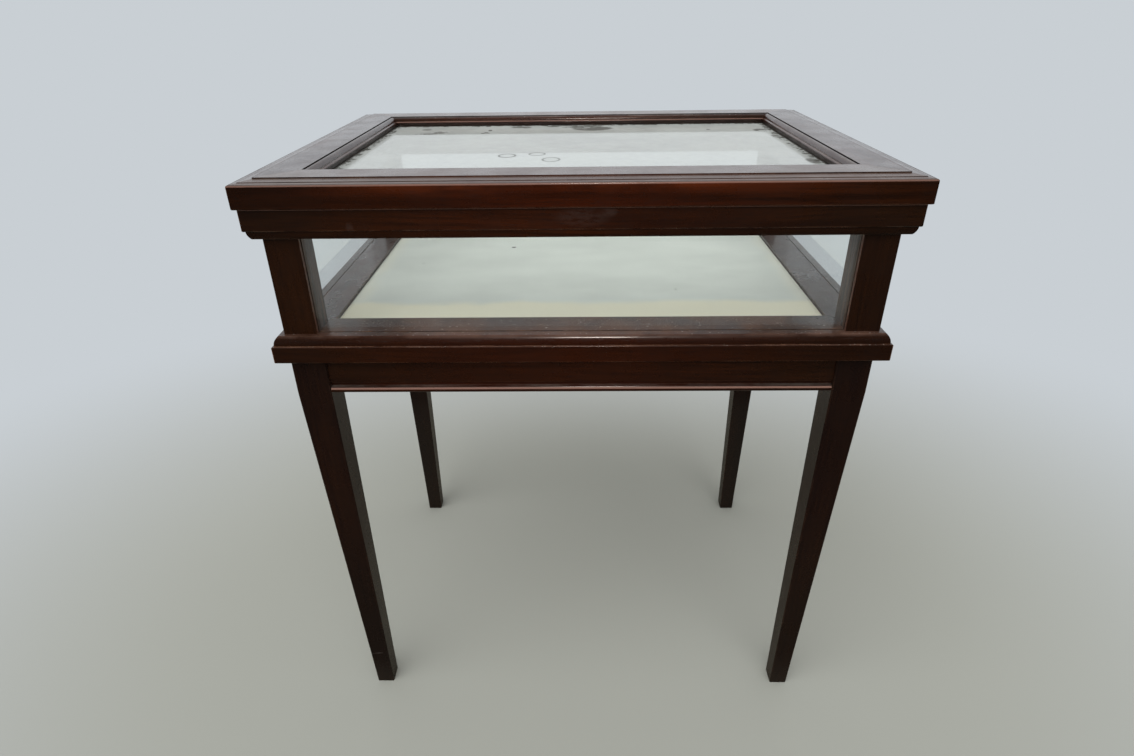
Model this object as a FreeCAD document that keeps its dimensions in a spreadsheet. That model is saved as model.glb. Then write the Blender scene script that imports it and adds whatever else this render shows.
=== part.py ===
import FreeCAD, Part
import math
import os
import re

import Sketcher
from FreeCAD import Placement, Rotation, Vector

# Glazed collectors display table in mahogany: four tapered legs, a glazed case and a lid that is hinged
# along the back. Millimetres. The origin is on the floor under the middle of the top, +Z is up, +X is to
# the right and the front looks along -Y. "Inset" is always measured inward from the lid's outer edge.

SIZES = [
    ("top_width", 684, "outer width of the lid, left to right"),
    ("top_depth", 498, "outer depth of the lid, front to back"),
    ("arris_bevel", 0.8, "small bevel along the exposed lower arrises"),
    ("leg_height", 561, "floor to the underside of the base frame"),
    ("leg_inset", 16.8, "legs, inward from the lid's edge"),
    ("leg_width", 39, "square top of a leg"),
    ("foot_width", 24, "square foot of a leg"),
    ("leg_lean", 15, "how far the two outer faces lean in by the foot"),
    ("leg_arris", 1.0, "bevel down the long edges of a leg"),
    ("apron_recess", 3, "apron face behind the leg face"),
    ("apron_thickness", 18, "apron board"),
    ("apron_depth", 32.5, "apron board, top to bottom"),
    ("tenon_length", 20, "apron tenon into the leg"),
    ("tenon_thickness", 8, "apron tenon"),
    ("tenon_depth", 26, "apron tenon, top to bottom"),
    ("tenon_fit", 0.1, "gap round a tenon in its mortise"),
    ("bead_depth", 13.5, "strip with the cock bead under the apron, top to bottom"),
    ("bead_quirk", 4.5, "height of the sunk line between apron and bead"),
    ("bead_setback", 1, "nose of the cock bead behind the leg face"),
    ("block_reach", 96, "corner block along each apron, from the leg's outer corner"),
    ("block_depth", 28, "corner block, top to bottom"),
    ("frame_inset", 4.4, "base frame's main band"),
    ("frame_height", 30.2, "base frame, top to bottom"),
    ("frame_inner_inset", 61, "opening of the base frame round the lining"),
    ("frame_band", 19.5, "height of the base frame's main band"),
    ("frame_step", 2.4, "ledge between the two bands of the base frame"),
    ("frame_round_run", 4.8, "rounded top edge of the base frame, inward"),
    ("frame_round_rise", 9.8, "rounded top edge of the base frame, upward"),
    ("lip_width", 10, "lip that carries the base panel"),
    ("lip_height", 17, "lip that carries the base panel"),
    ("panel_thickness", 6, "base panel"),
    ("lining_thickness", 4, "covered lining pad"),
    ("panel_fit", 0.5, "gap round the base panel, lining and lid glass"),
    ("post_inset", 16.7, "posts, inward from the lid's edge"),
    ("post_width", 37, "square post"),
    ("post_height", 109.3, "base frame to case rail"),
    ("post_arris", 0.6, "bevel down the outer corner of a post"),
    ("glass_setback", 4.5, "side glass behind the post face"),
    ("pane_thickness", 3, "side glass"),
    ("groove_slack", 0.4, "groove width over the glass"),
    ("post_groove_depth", 6, "glass groove in a post"),
    ("frame_groove_depth", 5, "glass groove in the base frame"),
    ("rail_groove_depth", 8, "glass groove in a case rail"),
    ("pane_headroom", 2.5, "space over the glass, which drops in from above"),
    ("pane_side_gap", 0.5, "side glass to the bottom of a post groove"),
    ("rail_inset", 3.8, "case rail's band, so also the lid's overhang"),
    ("rail_height", 31.6, "case rail, top to bottom"),
    ("rail_band", 22.6, "height of the case rail's band"),
    ("rail_step", 2.4, "step under the band of the case rail"),
    ("rail_round_run", 3.3, "moulding under the case rail, inward"),
    ("lid_gap", 0.3, "lid to case rail when shut"),
    ("lid_thickness", 27.6, "lid frame, top to bottom"),
    ("lid_arris", 2, "rounded top arris of the lid"),
    ("lid_raise", 1.2, "height of the fillet round the raised top"),
    ("lid_raise_inset", 19, "fillet round the raised top"),
    ("lid_slope_fall", 1.2, "fall of the slope outside the fillet"),
    ("lid_line_inset", 8, "fine line along the slope"),
    ("lid_line_step", 0.4, "fine line along the slope"),
    ("lid_edge_fall", 0.6, "fall from the fine line to the arris"),
    ("lid_frame_width", 55.7, "lid frame, edge to glazing moulding"),
    ("moulding_width", 9.1, "glazing moulding round the lid glass"),
    ("ledge_height", 10.2, "ledge under the lid glass"),
    ("lid_glass_thickness", 4, "lid glass"),
    ("quirk_width", 1.0, "sunk line between lid frame and moulding"),
    ("quirk_depth", 2.6, "sunk line between lid frame and moulding"),
    ("moulding_drop", 0.8, "moulding below the lid's top"),
    ("ovolo_run", 5.8, "upper curve of the moulding, inward"),
    ("ovolo_fall", 4.6, "upper curve of the moulding, downward"),
    ("moulding_step", 1.0, "small step in the moulding"),
    ("spline_length", 30, "loose tongue across a mitre"),
    ("spline_width", 18, "loose tongue along a mitre"),
    ("spline_thickness", 3, "loose tongue"),
    ("spline_inset", 30, "middle of a loose tongue, inward from both edges"),
    ("spline_fit", 0.1, "gap round a loose tongue"),
    ("dowel_radius", 4, "dowel at each end of a post"),
    ("dowel_length", 24, "dowel"),
    ("dowel_offset", 5, "dowel off the middle of its post"),
    ("dowel_fit", 0.1, "gap round a dowel"),
    ("frame_screw_radius", 2, "screw through a corner block"),
    ("frame_screw_grip", 14, "screw thread in the base frame"),
    ("frame_screw_inset", 45, "screw, inward from the edge of the lid"),
    ("frame_screw_along", 84, "screw, from the end of the lid's edge"),
    ("screw_head_radius", 4, "pan head of a corner block screw"),
    ("screw_head_height", 2.5, "pan head of a corner block screw"),
    ("screw_fit", 0.1, "gap round a screw"),
    ("hinge_inset", 132, "middle of a hinge from the end of the lid"),
    ("hinge_length", 50, "butt hinge along its pin"),
    ("leaf_width", 20, "hinge leaf from the pin's axis"),
    ("leaf_thickness", 1.5, "hinge leaf"),
    ("knuckle_radius", 2.9, "outside of a hinge knuckle"),
    ("knuckle_gap", 0.3, "end play beside a knuckle and gap round it"),
    ("pin_radius", 1.3, "hinge pin"),
    ("pin_held_fit", 0.02, "hinge pin in the case leaf"),
    ("pin_running_fit", 0.05, "hinge pin in the lid leaf"),
    ("pin_overhang", 0.4, "hinge pin past the end knuckle"),
    ("pivot_offset", 0.5, "pin's axis behind the back rail's face"),
    ("hinge_screw_radius", 1.3, "hinge screw"),
    ("hinge_screw_head", 2.7, "countersunk head of a hinge screw"),
    ("hinge_screw_sink", 1.3, "depth of the countersunk head"),
    ("hinge_screw_length", 15, "hinge screw, head included"),
    ("hinge_screw_pitch", 17, "between hinge screws"),
]
ALIASES = {alias for alias, _, _ in SIZES}

# Levels above the floor, and lines along the back, built up from the sizes above.
FRAME_TOP = "(leg_height + frame_height)"
RAIL_BOTTOM = f"({FRAME_TOP} + post_height)"
RAIL_TOP = f"({RAIL_BOTTOM} + rail_height)"
LID_BOTTOM = f"({RAIL_TOP} + lid_gap)"
LID_TOP = f"({LID_BOTTOM} + lid_thickness)"
GLASS_BOTTOM = f"({LID_BOTTOM} + ledge_height)"
GLASS_TOP = f"({GLASS_BOTTOM} + lid_glass_thickness)"
LIP_TOP = "(leg_height + lip_height)"
PANEL_TOP = f"({LIP_TOP} + panel_thickness)"
APRON_BOTTOM = "(leg_height - apron_depth)"
BEAD_BOTTOM = f"({APRON_BOTTOM} - bead_depth)"
TENON_BOTTOM = f"({APRON_BOTTOM} + (apron_depth - tenon_depth) / 2)"
GROOVE_OUTER = "(post_inset + glass_setback)"
GROOVE_INNER = f"({GROOVE_OUTER} + pane_thickness + groove_slack)"
PANE_BOTTOM = f"({FRAME_TOP} - frame_groove_depth)"
PIVOT_Y = "(top_depth / 2 - rail_inset + pivot_offset)"
PIVOT_Z = f"({RAIL_TOP} + lid_gap / 2)"
HINGE_X = "(top_width / 2 - hinge_inset)"
ROOT_HALF = "0.70710678"  # sine and cosine of a mitre's 45 degrees

# Side name: degrees about Z that turn a member's own frame to it, the size it runs along, and the
# direction from the middle of the table to its outer edge.
SIDES = {
    "front": (0, "top_width", (0, -1)),
    "right": (90, "top_depth", (1, 0)),
    "back": (180, "top_width", (0, 1)),
    "left": (-90, "top_depth", (-1, 0)),
}
# Corner name: degrees about Z, and the corner's direction in X and Y.
CORNERS = {
    "front_left": (0, (-1, -1)),
    "front_right": (90, (1, -1)),
    "back_right": (180, (1, 1)),
    "back_left": (-90, (-1, 1)),
}

doc = FreeCAD.newDocument("display_table")
sheet = doc.addObject("Spreadsheet::Sheet", "sizes")
for row, (alias, number, note) in enumerate(SIZES, start=1):
    sheet.set(f"A{row}", note)
    sheet.set(f"B{row}", str(number))
    sheet.setAlias(f"B{row}", alias)
doc.recompute()

nodes = []


def bound(text):
    """An expression other objects can use: every size name gets the sheet's name in front."""
    return re.sub(r"[a-z_]+", lambda word: f"sizes.{word[0]}" if word[0] in ALIASES else word[0], text)


def value(text):
    """The number an expression has now."""
    return float(sheet.evalExpression(text))


def keep(obj, name):
    """Names a finished sub-part and lists it for export."""
    obj.Label = name
    nodes.append(obj)


# ---- sketches and PartDesign features -------------------------------------------------------------


def new_body(base=("0", "0", "0"), turn=0):
    body = doc.addObject("PartDesign::Body", "Body")
    body.Placement = Placement(Vector(), Rotation(Vector(0, 0, 1), turn))
    for axis, text in zip("xyz", base):
        body.setExpression(f"Placement.Base.{axis}", bound(text))
    return body


def new_sketch(body, role, level="0"):
    """An empty sketch on one of the body's own planes, raised to a level above it."""
    plane = next(part for part in body.Origin.OriginFeatures if part.Role == role)
    sketch = body.newObject("Sketcher::SketchObject", "Sketch")
    sketch.AttachmentSupport = [(plane, "")]
    sketch.MapMode = "FlatFace"
    sketch.setExpression("AttachmentOffset.Base.z", bound(level))
    return sketch


def fix_point(sketch, edge, end, across, up):
    """Ties one end of an edge, or a circle's centre, to two expressions."""
    for kind, text in (("DistanceX", across), ("DistanceY", up)):
        number = sketch.addConstraint(Sketcher.Constraint(kind, -1, 1, edge, end, value(text)))
        sketch.setExpression(f"Constraints[{number}]", bound(text))


def clockwise_arc(start, end, radius):
    """The arc that bulges out to the left of the way from start to end."""
    chord = end - start
    half = chord.Length / 2
    reach = math.sqrt(max(radius * radius - half * half, 0))
    rightward = Vector(chord.y, -chord.x, 0).normalize()
    centre = (start + end) / 2 + rightward * reach
    first = math.atan2(end.y - centre.y, end.x - centre.x)
    last = math.atan2(start.y - centre.y, start.x - centre.x)
    if last < first:
        last += 2 * math.pi
    return Part.ArcOfCircle(Part.Circle(centre, Vector(0, 0, 1), radius), first, last)


def add_loop(sketch, points):
    """A closed outline, listed clockwise. A third entry is the radius of an arc to the next point."""
    spots = [Vector(value(point[0]), value(point[1]), 0) for point in points]
    first_edge = sketch.GeometryCount
    ends = []
    for index, point in enumerate(points):
        start = spots[index]
        end = spots[(index + 1) % len(spots)]
        if len(point) == 3:
            edge = sketch.addGeometry(clockwise_arc(start, end, value(point[2])))
            number = sketch.addConstraint(Sketcher.Constraint("Radius", edge, value(point[2])))
            sketch.setExpression(f"Constraints[{number}]", bound(point[2]))
            ends.append((2, 1))
        else:
            sketch.addGeometry(Part.LineSegment(start, end))
            ends.append((1, 2))
    for index, point in enumerate(points):
        after = (index + 1) % len(points)
        joint = Sketcher.Constraint("Coincident", first_edge + index, ends[index][1],
                                    first_edge + after, ends[after][0])
        sketch.addConstraint(joint)
        fix_point(sketch, first_edge + index, ends[index][0], point[0], point[1])


def add_circle(sketch, across, up, radius):
    edge = sketch.addGeometry(Part.Circle(Vector(value(across), value(up), 0), Vector(0, 0, 1), value(radius)))
    number = sketch.addConstraint(Sketcher.Constraint("Radius", edge, value(radius)))
    sketch.setExpression(f"Constraints[{number}]", bound(radius))
    fix_point(sketch, edge, 3, across, up)


def rectangle(low_across, low_up, high_across, high_up):
    return [(low_across, low_up), (low_across, high_up), (high_across, high_up), (high_across, low_up)]


def pad(body, sketch, length, symmetric=False):
    feature = body.newObject("PartDesign::Pad", "Pad")
    feature.Profile = sketch
    feature.setExpression("Length", bound(length))
    if symmetric:
        feature.SideType = "Symmetric"
    sketch.Visibility = False
    doc.recompute()
    return feature


def pocket(body, sketch, depth=None, upward=True):
    """Cuts upward or downward by a depth, or right through both ways when none is given."""
    before = body.Shape.Volume
    feature = body.newObject("PartDesign::Pocket", "Pocket")
    feature.Profile = sketch
    if depth is None:
        feature.Type = "ThroughAll"
        feature.SideType = "Symmetric"
    else:
        feature.setExpression("Length", bound(depth))
        feature.Reversed = upward
    doc.recompute()
    if not body.Shape.Volume < before:
        raise RuntimeError(f"{feature.Name} removed nothing")


# ---- Part primitives and booleans -----------------------------------------------------------------


def primitive(kind, spot, turn=0, **sizes):
    """A Part primitive at a spot, turned about Z, with its sizes bound to the sheet."""
    solid = doc.addObject(f"Part::{kind}", kind)
    solid.Placement = Placement(Vector(), Rotation(Vector(0, 0, 1), turn))
    for name, text in sizes.items():
        solid.setExpression(name, bound(text))
    for axis, text in zip("xyz", spot):
        solid.setExpression(f"Placement.Base.{axis}", bound(text))
    return solid


def compound(solids, name):
    group = doc.addObject("Part::Compound", "Compound")
    group.Links = solids
    keep(group, name)


def joined(solids):
    fusion = doc.addObject("Part::MultiFuse", "Fusion")
    fusion.Shapes = solids
    return fusion


def cut(base, tools):
    result = doc.addObject("Part::Cut", "Cut")
    result.Base = base
    result.Tool = joined(tools) if len(tools) > 1 else tools[0]
    return result


# ---- straight members that meet in mitres ---------------------------------------------------------


def side_base(side):
    """Where a member's own origin lies: on the lid's outer edge, at the middle of the side."""
    across, along = SIDES[side][2]
    return (f"{across} * top_width / 2", f"{along} * top_depth / 2", "0")


def mitred_member(side, profile):
    """A moulding along one side, its length in its own X and inward in its own Y, mitred at both ends."""
    turn, length, _ = SIDES[side]
    body = new_body(side_base(side), turn)
    section = new_sketch(body, "YZ_Plane")
    add_loop(section, profile)
    pad(body, section, length, symmetric=True)
    reach = max(value(point[0]) for point in profile) + 1
    ends = new_sketch(body, "XY_Plane")
    for end in (1, -1):
        triangle = [
            (f"{end} * {length} / 2", "0"),
            (f"{end} * ({length} / 2 + {reach})", f"{reach}"),
            (f"{end} * ({length} / 2 - {reach})", f"{reach}"),
        ]
        add_loop(ends, triangle)
    pocket(body, ends)
    return body


def spline_slots(body, side, level):
    """Slots for the loose tongues, square across both mitres of a member."""
    length = SIDES[side][1]
    across = "(spline_length / 2 + spline_fit)"
    along = "(spline_width / 2 + spline_fit)"
    slots = new_sketch(body, "XY_Plane", level)
    for end in (1, -1):
        middle = f"({length} / 2 - spline_inset)"
        corners = [(1, 1), (1, -1), (-1, -1), (-1, 1)]
        outline = []
        for over, inward in corners:
            shift = f"({over} * {across} - {inward} * {along}) * {ROOT_HALF}"
            depth = f"({over} * {across} + {inward} * {along}) * {ROOT_HALF}"
            outline.append((f"{end} * ({middle} + {shift})", f"spline_inset + {depth}"))
        add_loop(slots, outline)
    pocket(body, slots, "spline_thickness")


def splines(level, name):
    """The loose tongues that lock the four mitres of a frame."""
    tongues = []
    for _, (across, along) in CORNERS.values():
        turn = math.degrees(math.atan2(across, -along))
        spot = (
            f"{across} * (top_width / 2 - spline_inset)"
            f" + ({along} * spline_length + {across} * spline_width) / 2 * {ROOT_HALF}",
            f"{along} * (top_depth / 2 - spline_inset)"
            f" + ({-across} * spline_length + {along} * spline_width) / 2 * {ROOT_HALF}",
            level,
        )
        tongue = primitive("Box", spot, turn, Length="spline_length", Width="spline_width",
                           Height="spline_thickness")
        tongues.append(tongue)
    compound(tongues, name)


def dowel_holes(body, side, level, upward):
    """Two holes, one by each end of a member, for the dowels of the posts."""
    length = SIDES[side][1]
    holes = new_sketch(body, "XY_Plane", level)
    for end in (1, -1):
        along = f"{end} * ({length} / 2 - post_inset - post_width / 2 - dowel_offset)"
        inward = "post_inset + post_width / 2 - dowel_offset"
        add_circle(holes, along, inward, "dowel_radius + dowel_fit")
    pocket(body, holes, "dowel_length / 2 + dowel_fit", upward)


# ---- the stand: legs, aprons, beads, corner blocks ------------------------------------------------


def corner_base(corner, inset):
    """Where a corner piece's own origin lies: on its outer corner, at an inset from both edges."""
    across, along = CORNERS[corner][1]
    return (f"{across} * (top_width / 2 - {inset})", f"{along} * (top_depth / 2 - {inset})", "0")


def leg(corner):
    """A square leg: upright where the aprons join it, then its two outer faces lean in to the foot."""
    body = new_body(corner_base(corner, "leg_inset"), CORNERS[corner][0])
    shoulder = new_sketch(body, "XY_Plane", BEAD_BOTTOM)
    add_loop(shoulder, leg_outline("0", "leg_width"))
    pad(body, shoulder, "apron_depth + bead_depth")
    top = new_sketch(body, "XY_Plane", BEAD_BOTTOM)
    add_loop(top, leg_outline("0", "leg_width"))
    foot = new_sketch(body, "XY_Plane")
    add_loop(foot, leg_outline("leg_lean", "leg_lean + foot_width"))
    doc.recompute()
    taper = body.newObject("PartDesign::AdditiveLoft", "Taper")
    taper.Profile = top
    taper.Sections = [foot]
    taper.Ruled = True
    doc.recompute()
    mortise_side(body, "XZ_Plane", -1)
    mortise_side(body, "YZ_Plane", 1)
    keep(body, f"leg_{corner}")


def leg_outline(low, high):
    """A square with a small bevel on each corner, from low to high both ways."""
    return [
        (low, f"{low} + leg_arris"),
        (low, f"{high} - leg_arris"),
        (f"{low} + leg_arris", high),
        (f"{high} - leg_arris", high),
        (high, f"{high} - leg_arris"),
        (high, f"{low} + leg_arris"),
        (f"{high} - leg_arris", low),
        (f"{low} + leg_arris", low),
    ]


def mortise_side(body, role, outward):
    """A mortise in one inner face of a leg. The sketch plane lies on the bottom of the mortise."""
    level = f"{outward} * (leg_width - tenon_length - tenon_fit)"
    mouth = new_sketch(body, role, level)
    middle = "(apron_recess + apron_thickness / 2)"
    half = "(tenon_thickness / 2 + tenon_fit)"
    outline = rectangle(f"{middle} - {half}", f"{TENON_BOTTOM} - tenon_fit",
                        f"{middle} + {half}", f"{TENON_BOTTOM} + tenon_depth + tenon_fit")
    add_loop(mouth, outline)
    pocket(body, mouth, "tenon_length + 2 * tenon_fit", upward=outward > 0)


def apron(side):
    """A board between two legs, with a tenon at each end."""
    turn, length, _ = SIDES[side]
    body = new_body(side_base(side), turn)
    shoulder = f"({length} / 2 - leg_inset - leg_width)"
    face = "(leg_inset + apron_recess)"
    board = new_sketch(body, "XY_Plane", APRON_BOTTOM)
    add_loop(board, rectangle(f"-{shoulder}", face, shoulder, f"{face} + apron_thickness"))
    pad(body, board, "apron_depth")
    tenons = new_sketch(body, "XY_Plane", TENON_BOTTOM)
    cheek = f"({face} + (apron_thickness - tenon_thickness) / 2)"
    add_loop(tenons, rectangle(f"-({shoulder} + tenon_length)", cheek,
                               f"{shoulder} + tenon_length", f"{cheek} + tenon_thickness"))
    pad(body, tenons, "tenon_depth")
    keep(body, f"apron_{side}")


def apron_bead(side):
    """The strip under an apron: a cock bead with a half-round nose, and a sunk line above it."""
    turn, length, _ = SIDES[side]
    body = new_body(side_base(side), turn)
    nose = "(leg_inset + bead_setback)"
    back = "leg_inset + apron_recess + apron_thickness"
    radius = "(bead_depth - bead_quirk) / 2"
    section = new_sketch(body, "YZ_Plane")
    profile = [
        (f"{nose} + {radius}", BEAD_BOTTOM, radius),
        (nose, f"{BEAD_BOTTOM} + {radius}", radius),
        (f"{nose} + {radius}", f"{BEAD_BOTTOM} + 2 * {radius}"),
        (f"{nose} + {radius}", APRON_BOTTOM),
        (back, APRON_BOTTOM),
        (back, BEAD_BOTTOM),
    ]
    add_loop(section, profile)
    pad(body, section, f"{length} - 2 * (leg_inset + leg_width)", symmetric=True)
    keep(body, f"apron_bead_{side}")


def corner_block(corner):
    """A block glued behind a leg, between two aprons, with two screws up into the base frame."""
    body = new_body(corner_base(corner, "leg_inset"), CORNERS[corner][0])
    wall = "(apron_recess + apron_thickness)"
    outline = [
        (wall, "leg_width"),
        (wall, "block_reach"),
        ("block_reach", wall),
        ("leg_width", wall),
        ("leg_width", "leg_width"),
    ]
    blank = new_sketch(body, "XY_Plane", "leg_height - block_depth")
    add_loop(blank, outline)
    pad(body, blank, "block_depth")
    holes = new_sketch(body, "XY_Plane")
    across = "frame_screw_along - leg_inset"
    inward = "frame_screw_inset - leg_inset"
    add_circle(holes, across, inward, "frame_screw_radius + screw_fit")
    add_circle(holes, inward, across, "frame_screw_radius + screw_fit")
    pocket(body, holes)
    keep(body, f"corner_block_{corner}")


def frame_screws():
    """Pan-head screws, two up through each corner block into the base frame."""
    screws = []
    low = "leg_height - block_depth"
    spots = (("frame_screw_along", "frame_screw_inset"), ("frame_screw_inset", "frame_screw_along"))
    for _, (across, along) in CORNERS.values():
        for from_side, from_front in spots:
            spot = (f"{across} * (top_width / 2 - {from_side})", f"{along} * (top_depth / 2 - {from_front})")
            head = primitive("Cylinder", (*spot, f"{low} - screw_head_height"),
                             Radius="screw_head_radius", Height="screw_head_height")
            shank = primitive("Cylinder", (*spot, f"{low} - screw_head_height"),
                              Radius="frame_screw_radius",
                              Height="screw_head_height + block_depth + frame_screw_grip")
            screws.append(joined([head, shank]))
    compound(screws, "frame_screws")


# ---- the base frame, its panel and lining ---------------------------------------------------------


def base_frame(side):
    """Two-band moulding under the case, with the glass groove on top and a lip inside for the panel."""
    upper_face = "(frame_inset + frame_step)"
    radius = "(frame_round_run ^ 2 + frame_round_rise ^ 2) / (2 * frame_round_run)"
    profile = [
        ("frame_inset", "leg_height + arris_bevel"),
        ("frame_inset", "leg_height + frame_band - arris_bevel", "arris_bevel"),
        ("frame_inset + arris_bevel", "leg_height + frame_band"),
        (upper_face, "leg_height + frame_band"),
        (upper_face, f"{FRAME_TOP} - frame_round_rise", radius),
        (f"{upper_face} + frame_round_run", FRAME_TOP),
        (GROOVE_OUTER, FRAME_TOP),
        (GROOVE_OUTER, PANE_BOTTOM),
        (GROOVE_INNER, PANE_BOTTOM),
        (GROOVE_INNER, FRAME_TOP),
        ("frame_inner_inset", FRAME_TOP),
        ("frame_inner_inset", LIP_TOP),
        ("frame_inner_inset + lip_width", LIP_TOP),
        ("frame_inner_inset + lip_width", "leg_height"),
        ("frame_inset + arris_bevel", "leg_height"),
    ]
    body = mitred_member(side, profile)
    spline_slots(body, side, "leg_height + frame_height / 3")
    dowel_holes(body, side, FRAME_TOP, upward=False)
    length = SIDES[side][1]
    holes = new_sketch(body, "XY_Plane", "leg_height")
    for end in (1, -1):
        add_circle(holes, f"{end} * ({length} / 2 - frame_screw_along)", "frame_screw_inset",
                   "frame_screw_radius + screw_fit")
    pocket(body, holes, "frame_screw_grip + screw_fit")
    keep(body, f"base_frame_{side}")


def flat_panel(name, inset, bottom, thickness):
    """A rectangular sheet centred under the top."""
    spot = (f"{inset} - top_width / 2", f"{inset} - top_depth / 2", bottom)
    sheet_part = primitive("Box", spot, Length=f"top_width - 2 * ({inset})",
                           Width=f"top_depth - 2 * ({inset})", Height=thickness)
    keep(sheet_part, name)


# ---- the glazed case ------------------------------------------------------------------------------


def post(corner):
    """A square post with a glass groove in both inner faces and two dowel holes in each end."""
    body = new_body(corner_base(corner, "post_inset"), CORNERS[corner][0])
    section = new_sketch(body, "XY_Plane", FRAME_TOP)
    groove_end = "glass_setback + pane_thickness + groove_slack"
    groove_bottom = "post_width - post_groove_depth"
    outline = [
        ("0", "post_arris"),
        ("0", "post_width"),
        ("glass_setback", "post_width"),
        ("glass_setback", groove_bottom),
        (groove_end, groove_bottom),
        (groove_end, "post_width"),
        ("post_width", "post_width"),
        ("post_width", groove_end),
        (groove_bottom, groove_end),
        (groove_bottom, "glass_setback"),
        ("post_width", "glass_setback"),
        ("post_width", "0"),
        ("post_arris", "0"),
    ]
    add_loop(section, outline)
    pad(body, section, "post_height")
    near = "post_width / 2 - dowel_offset"
    far = "post_width / 2 + dowel_offset"
    for level, upward in ((FRAME_TOP, True), (RAIL_BOTTOM, False)):
        holes = new_sketch(body, "XY_Plane", level)
        add_circle(holes, near, far, "dowel_radius + dowel_fit")
        add_circle(holes, far, near, "dowel_radius + dowel_fit")
        pocket(body, holes, "dowel_length / 2 + dowel_fit", upward)
    keep(body, f"post_{corner}")


def post_dowels():
    """Two dowels at each end of each post."""
    dowels = []
    near = "(post_inset + post_width / 2 - dowel_offset)"
    far = "(post_inset + post_width / 2 + dowel_offset)"
    for _, (across, along) in CORNERS.values():
        for level in (FRAME_TOP, RAIL_BOTTOM):
            for from_side, from_front in ((near, far), (far, near)):
                spot = (
                    f"{across} * (top_width / 2 - {from_side})",
                    f"{along} * (top_depth / 2 - {from_front})",
                    f"{level} - dowel_length / 2",
                )
                dowels.append(primitive("Cylinder", spot, Radius="dowel_radius", Height="dowel_length"))
    compound(dowels, "post_dowels")


def side_glass(side):
    """A pane that stands in the base frame's groove, between two posts and under a case rail."""
    turn, length, _ = SIDES[side]
    body = new_body(side_base(side), turn)
    half = f"({length} / 2 - post_inset - post_width + post_groove_depth - pane_side_gap)"
    face = f"({GROOVE_OUTER} + groove_slack / 2)"
    section = new_sketch(body, "XY_Plane", PANE_BOTTOM)
    add_loop(section, rectangle(f"-{half}", face, half, f"{face} + pane_thickness"))
    pad(body, section, "frame_groove_depth + post_height + rail_groove_depth - pane_headroom")
    keep(body, f"side_glass_{side}")


def case_rail(side):
    """Top rail of the case: a plain band, a step and a rounded moulding, with the glass groove below."""
    rise = "(rail_height - rail_band)"
    inner = "post_inset + post_width"
    under_band = f"({RAIL_TOP} - rail_band)"
    radius = f"(rail_round_run ^ 2 + {rise} ^ 2) / (2 * rail_round_run)"
    profile = [
        ("rail_inset + rail_step + rail_round_run", RAIL_BOTTOM, radius),
        ("rail_inset + rail_step", under_band),
        ("rail_inset + arris_bevel", under_band),
        ("rail_inset", f"{under_band} + arris_bevel"),
        ("rail_inset", f"{RAIL_TOP} - arris_bevel", "arris_bevel"),
        ("rail_inset + arris_bevel", RAIL_TOP),
        (inner, RAIL_TOP),
        (inner, RAIL_BOTTOM),
        (GROOVE_INNER, RAIL_BOTTOM),
        (GROOVE_INNER, f"{RAIL_BOTTOM} + rail_groove_depth"),
        (GROOVE_OUTER, f"{RAIL_BOTTOM} + rail_groove_depth"),
        (GROOVE_OUTER, RAIL_BOTTOM),
    ]
    body = mitred_member(side, profile)
    spline_slots(body, side, f"{RAIL_BOTTOM} + rail_height / 2")
    dowel_holes(body, side, RAIL_BOTTOM, upward=True)
    if side == "back":
        hinge_seats(body, RAIL_TOP, "-1", "rail_inset")
    keep(body, f"case_rail_{side}")


# ---- the lid --------------------------------------------------------------------------------------


def lid_frame(side):
    """Lid member: plain edge, rounded arris, gentle slope, raised flat top and a ledge for the glass."""
    raised = f"({LID_TOP} - lid_raise)"
    line = f"({raised} - lid_slope_fall)"
    arris_top = f"({line} - lid_line_step - lid_edge_fall)"
    inner = "lid_frame_width + moulding_width"
    profile = [
        ("0", f"{LID_BOTTOM} + arris_bevel"),
        ("0", f"{arris_top} - lid_arris", "lid_arris"),
        ("lid_arris", arris_top),
        ("lid_line_inset", f"{line} - lid_line_step"),
        ("lid_line_inset", line),
        ("lid_raise_inset", raised),
        ("lid_raise_inset", LID_TOP),
        ("lid_frame_width", LID_TOP),
        ("lid_frame_width", GLASS_BOTTOM),
        (inner, GLASS_BOTTOM),
        (inner, LID_BOTTOM),
        ("arris_bevel", LID_BOTTOM),
    ]
    body = mitred_member(side, profile)
    spline_slots(body, side, f"{LID_BOTTOM} + lid_thickness / 3")
    if side == "back":
        hinge_seats(body, LID_BOTTOM, "1", "0")
    keep(body, f"lid_frame_{side}")


def lid_moulding(side):
    """Glazing moulding that holds the lid glass down: a sunk line, an ovolo, a step and a bead."""
    quirk = "(lid_frame_width + quirk_width)"
    shoulder = f"({LID_TOP} - moulding_drop)"
    ovolo_end = f"({quirk} + ovolo_run)"
    ovolo_radius = "(ovolo_run ^ 2 + ovolo_fall ^ 2) / (2 * ovolo_fall)"
    inner = "(lid_frame_width + moulding_width)"
    bead = "(moulding_width - quirk_width - ovolo_run)"
    bead_top = f"({shoulder} - ovolo_fall - moulding_step)"
    profile = [
        ("lid_frame_width", GLASS_TOP),
        ("lid_frame_width", f"{LID_TOP} - quirk_depth"),
        (quirk, f"{LID_TOP} - quirk_depth"),
        (quirk, shoulder, ovolo_radius),
        (ovolo_end, f"{shoulder} - ovolo_fall"),
        (ovolo_end, bead_top, bead),
        (inner, f"{bead_top} - {bead}"),
        (inner, GLASS_TOP),
    ]
    body = mitred_member(side, profile)
    keep(body, f"lid_moulding_{side}")


# ---- the butt hinges ------------------------------------------------------------------------------


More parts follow.
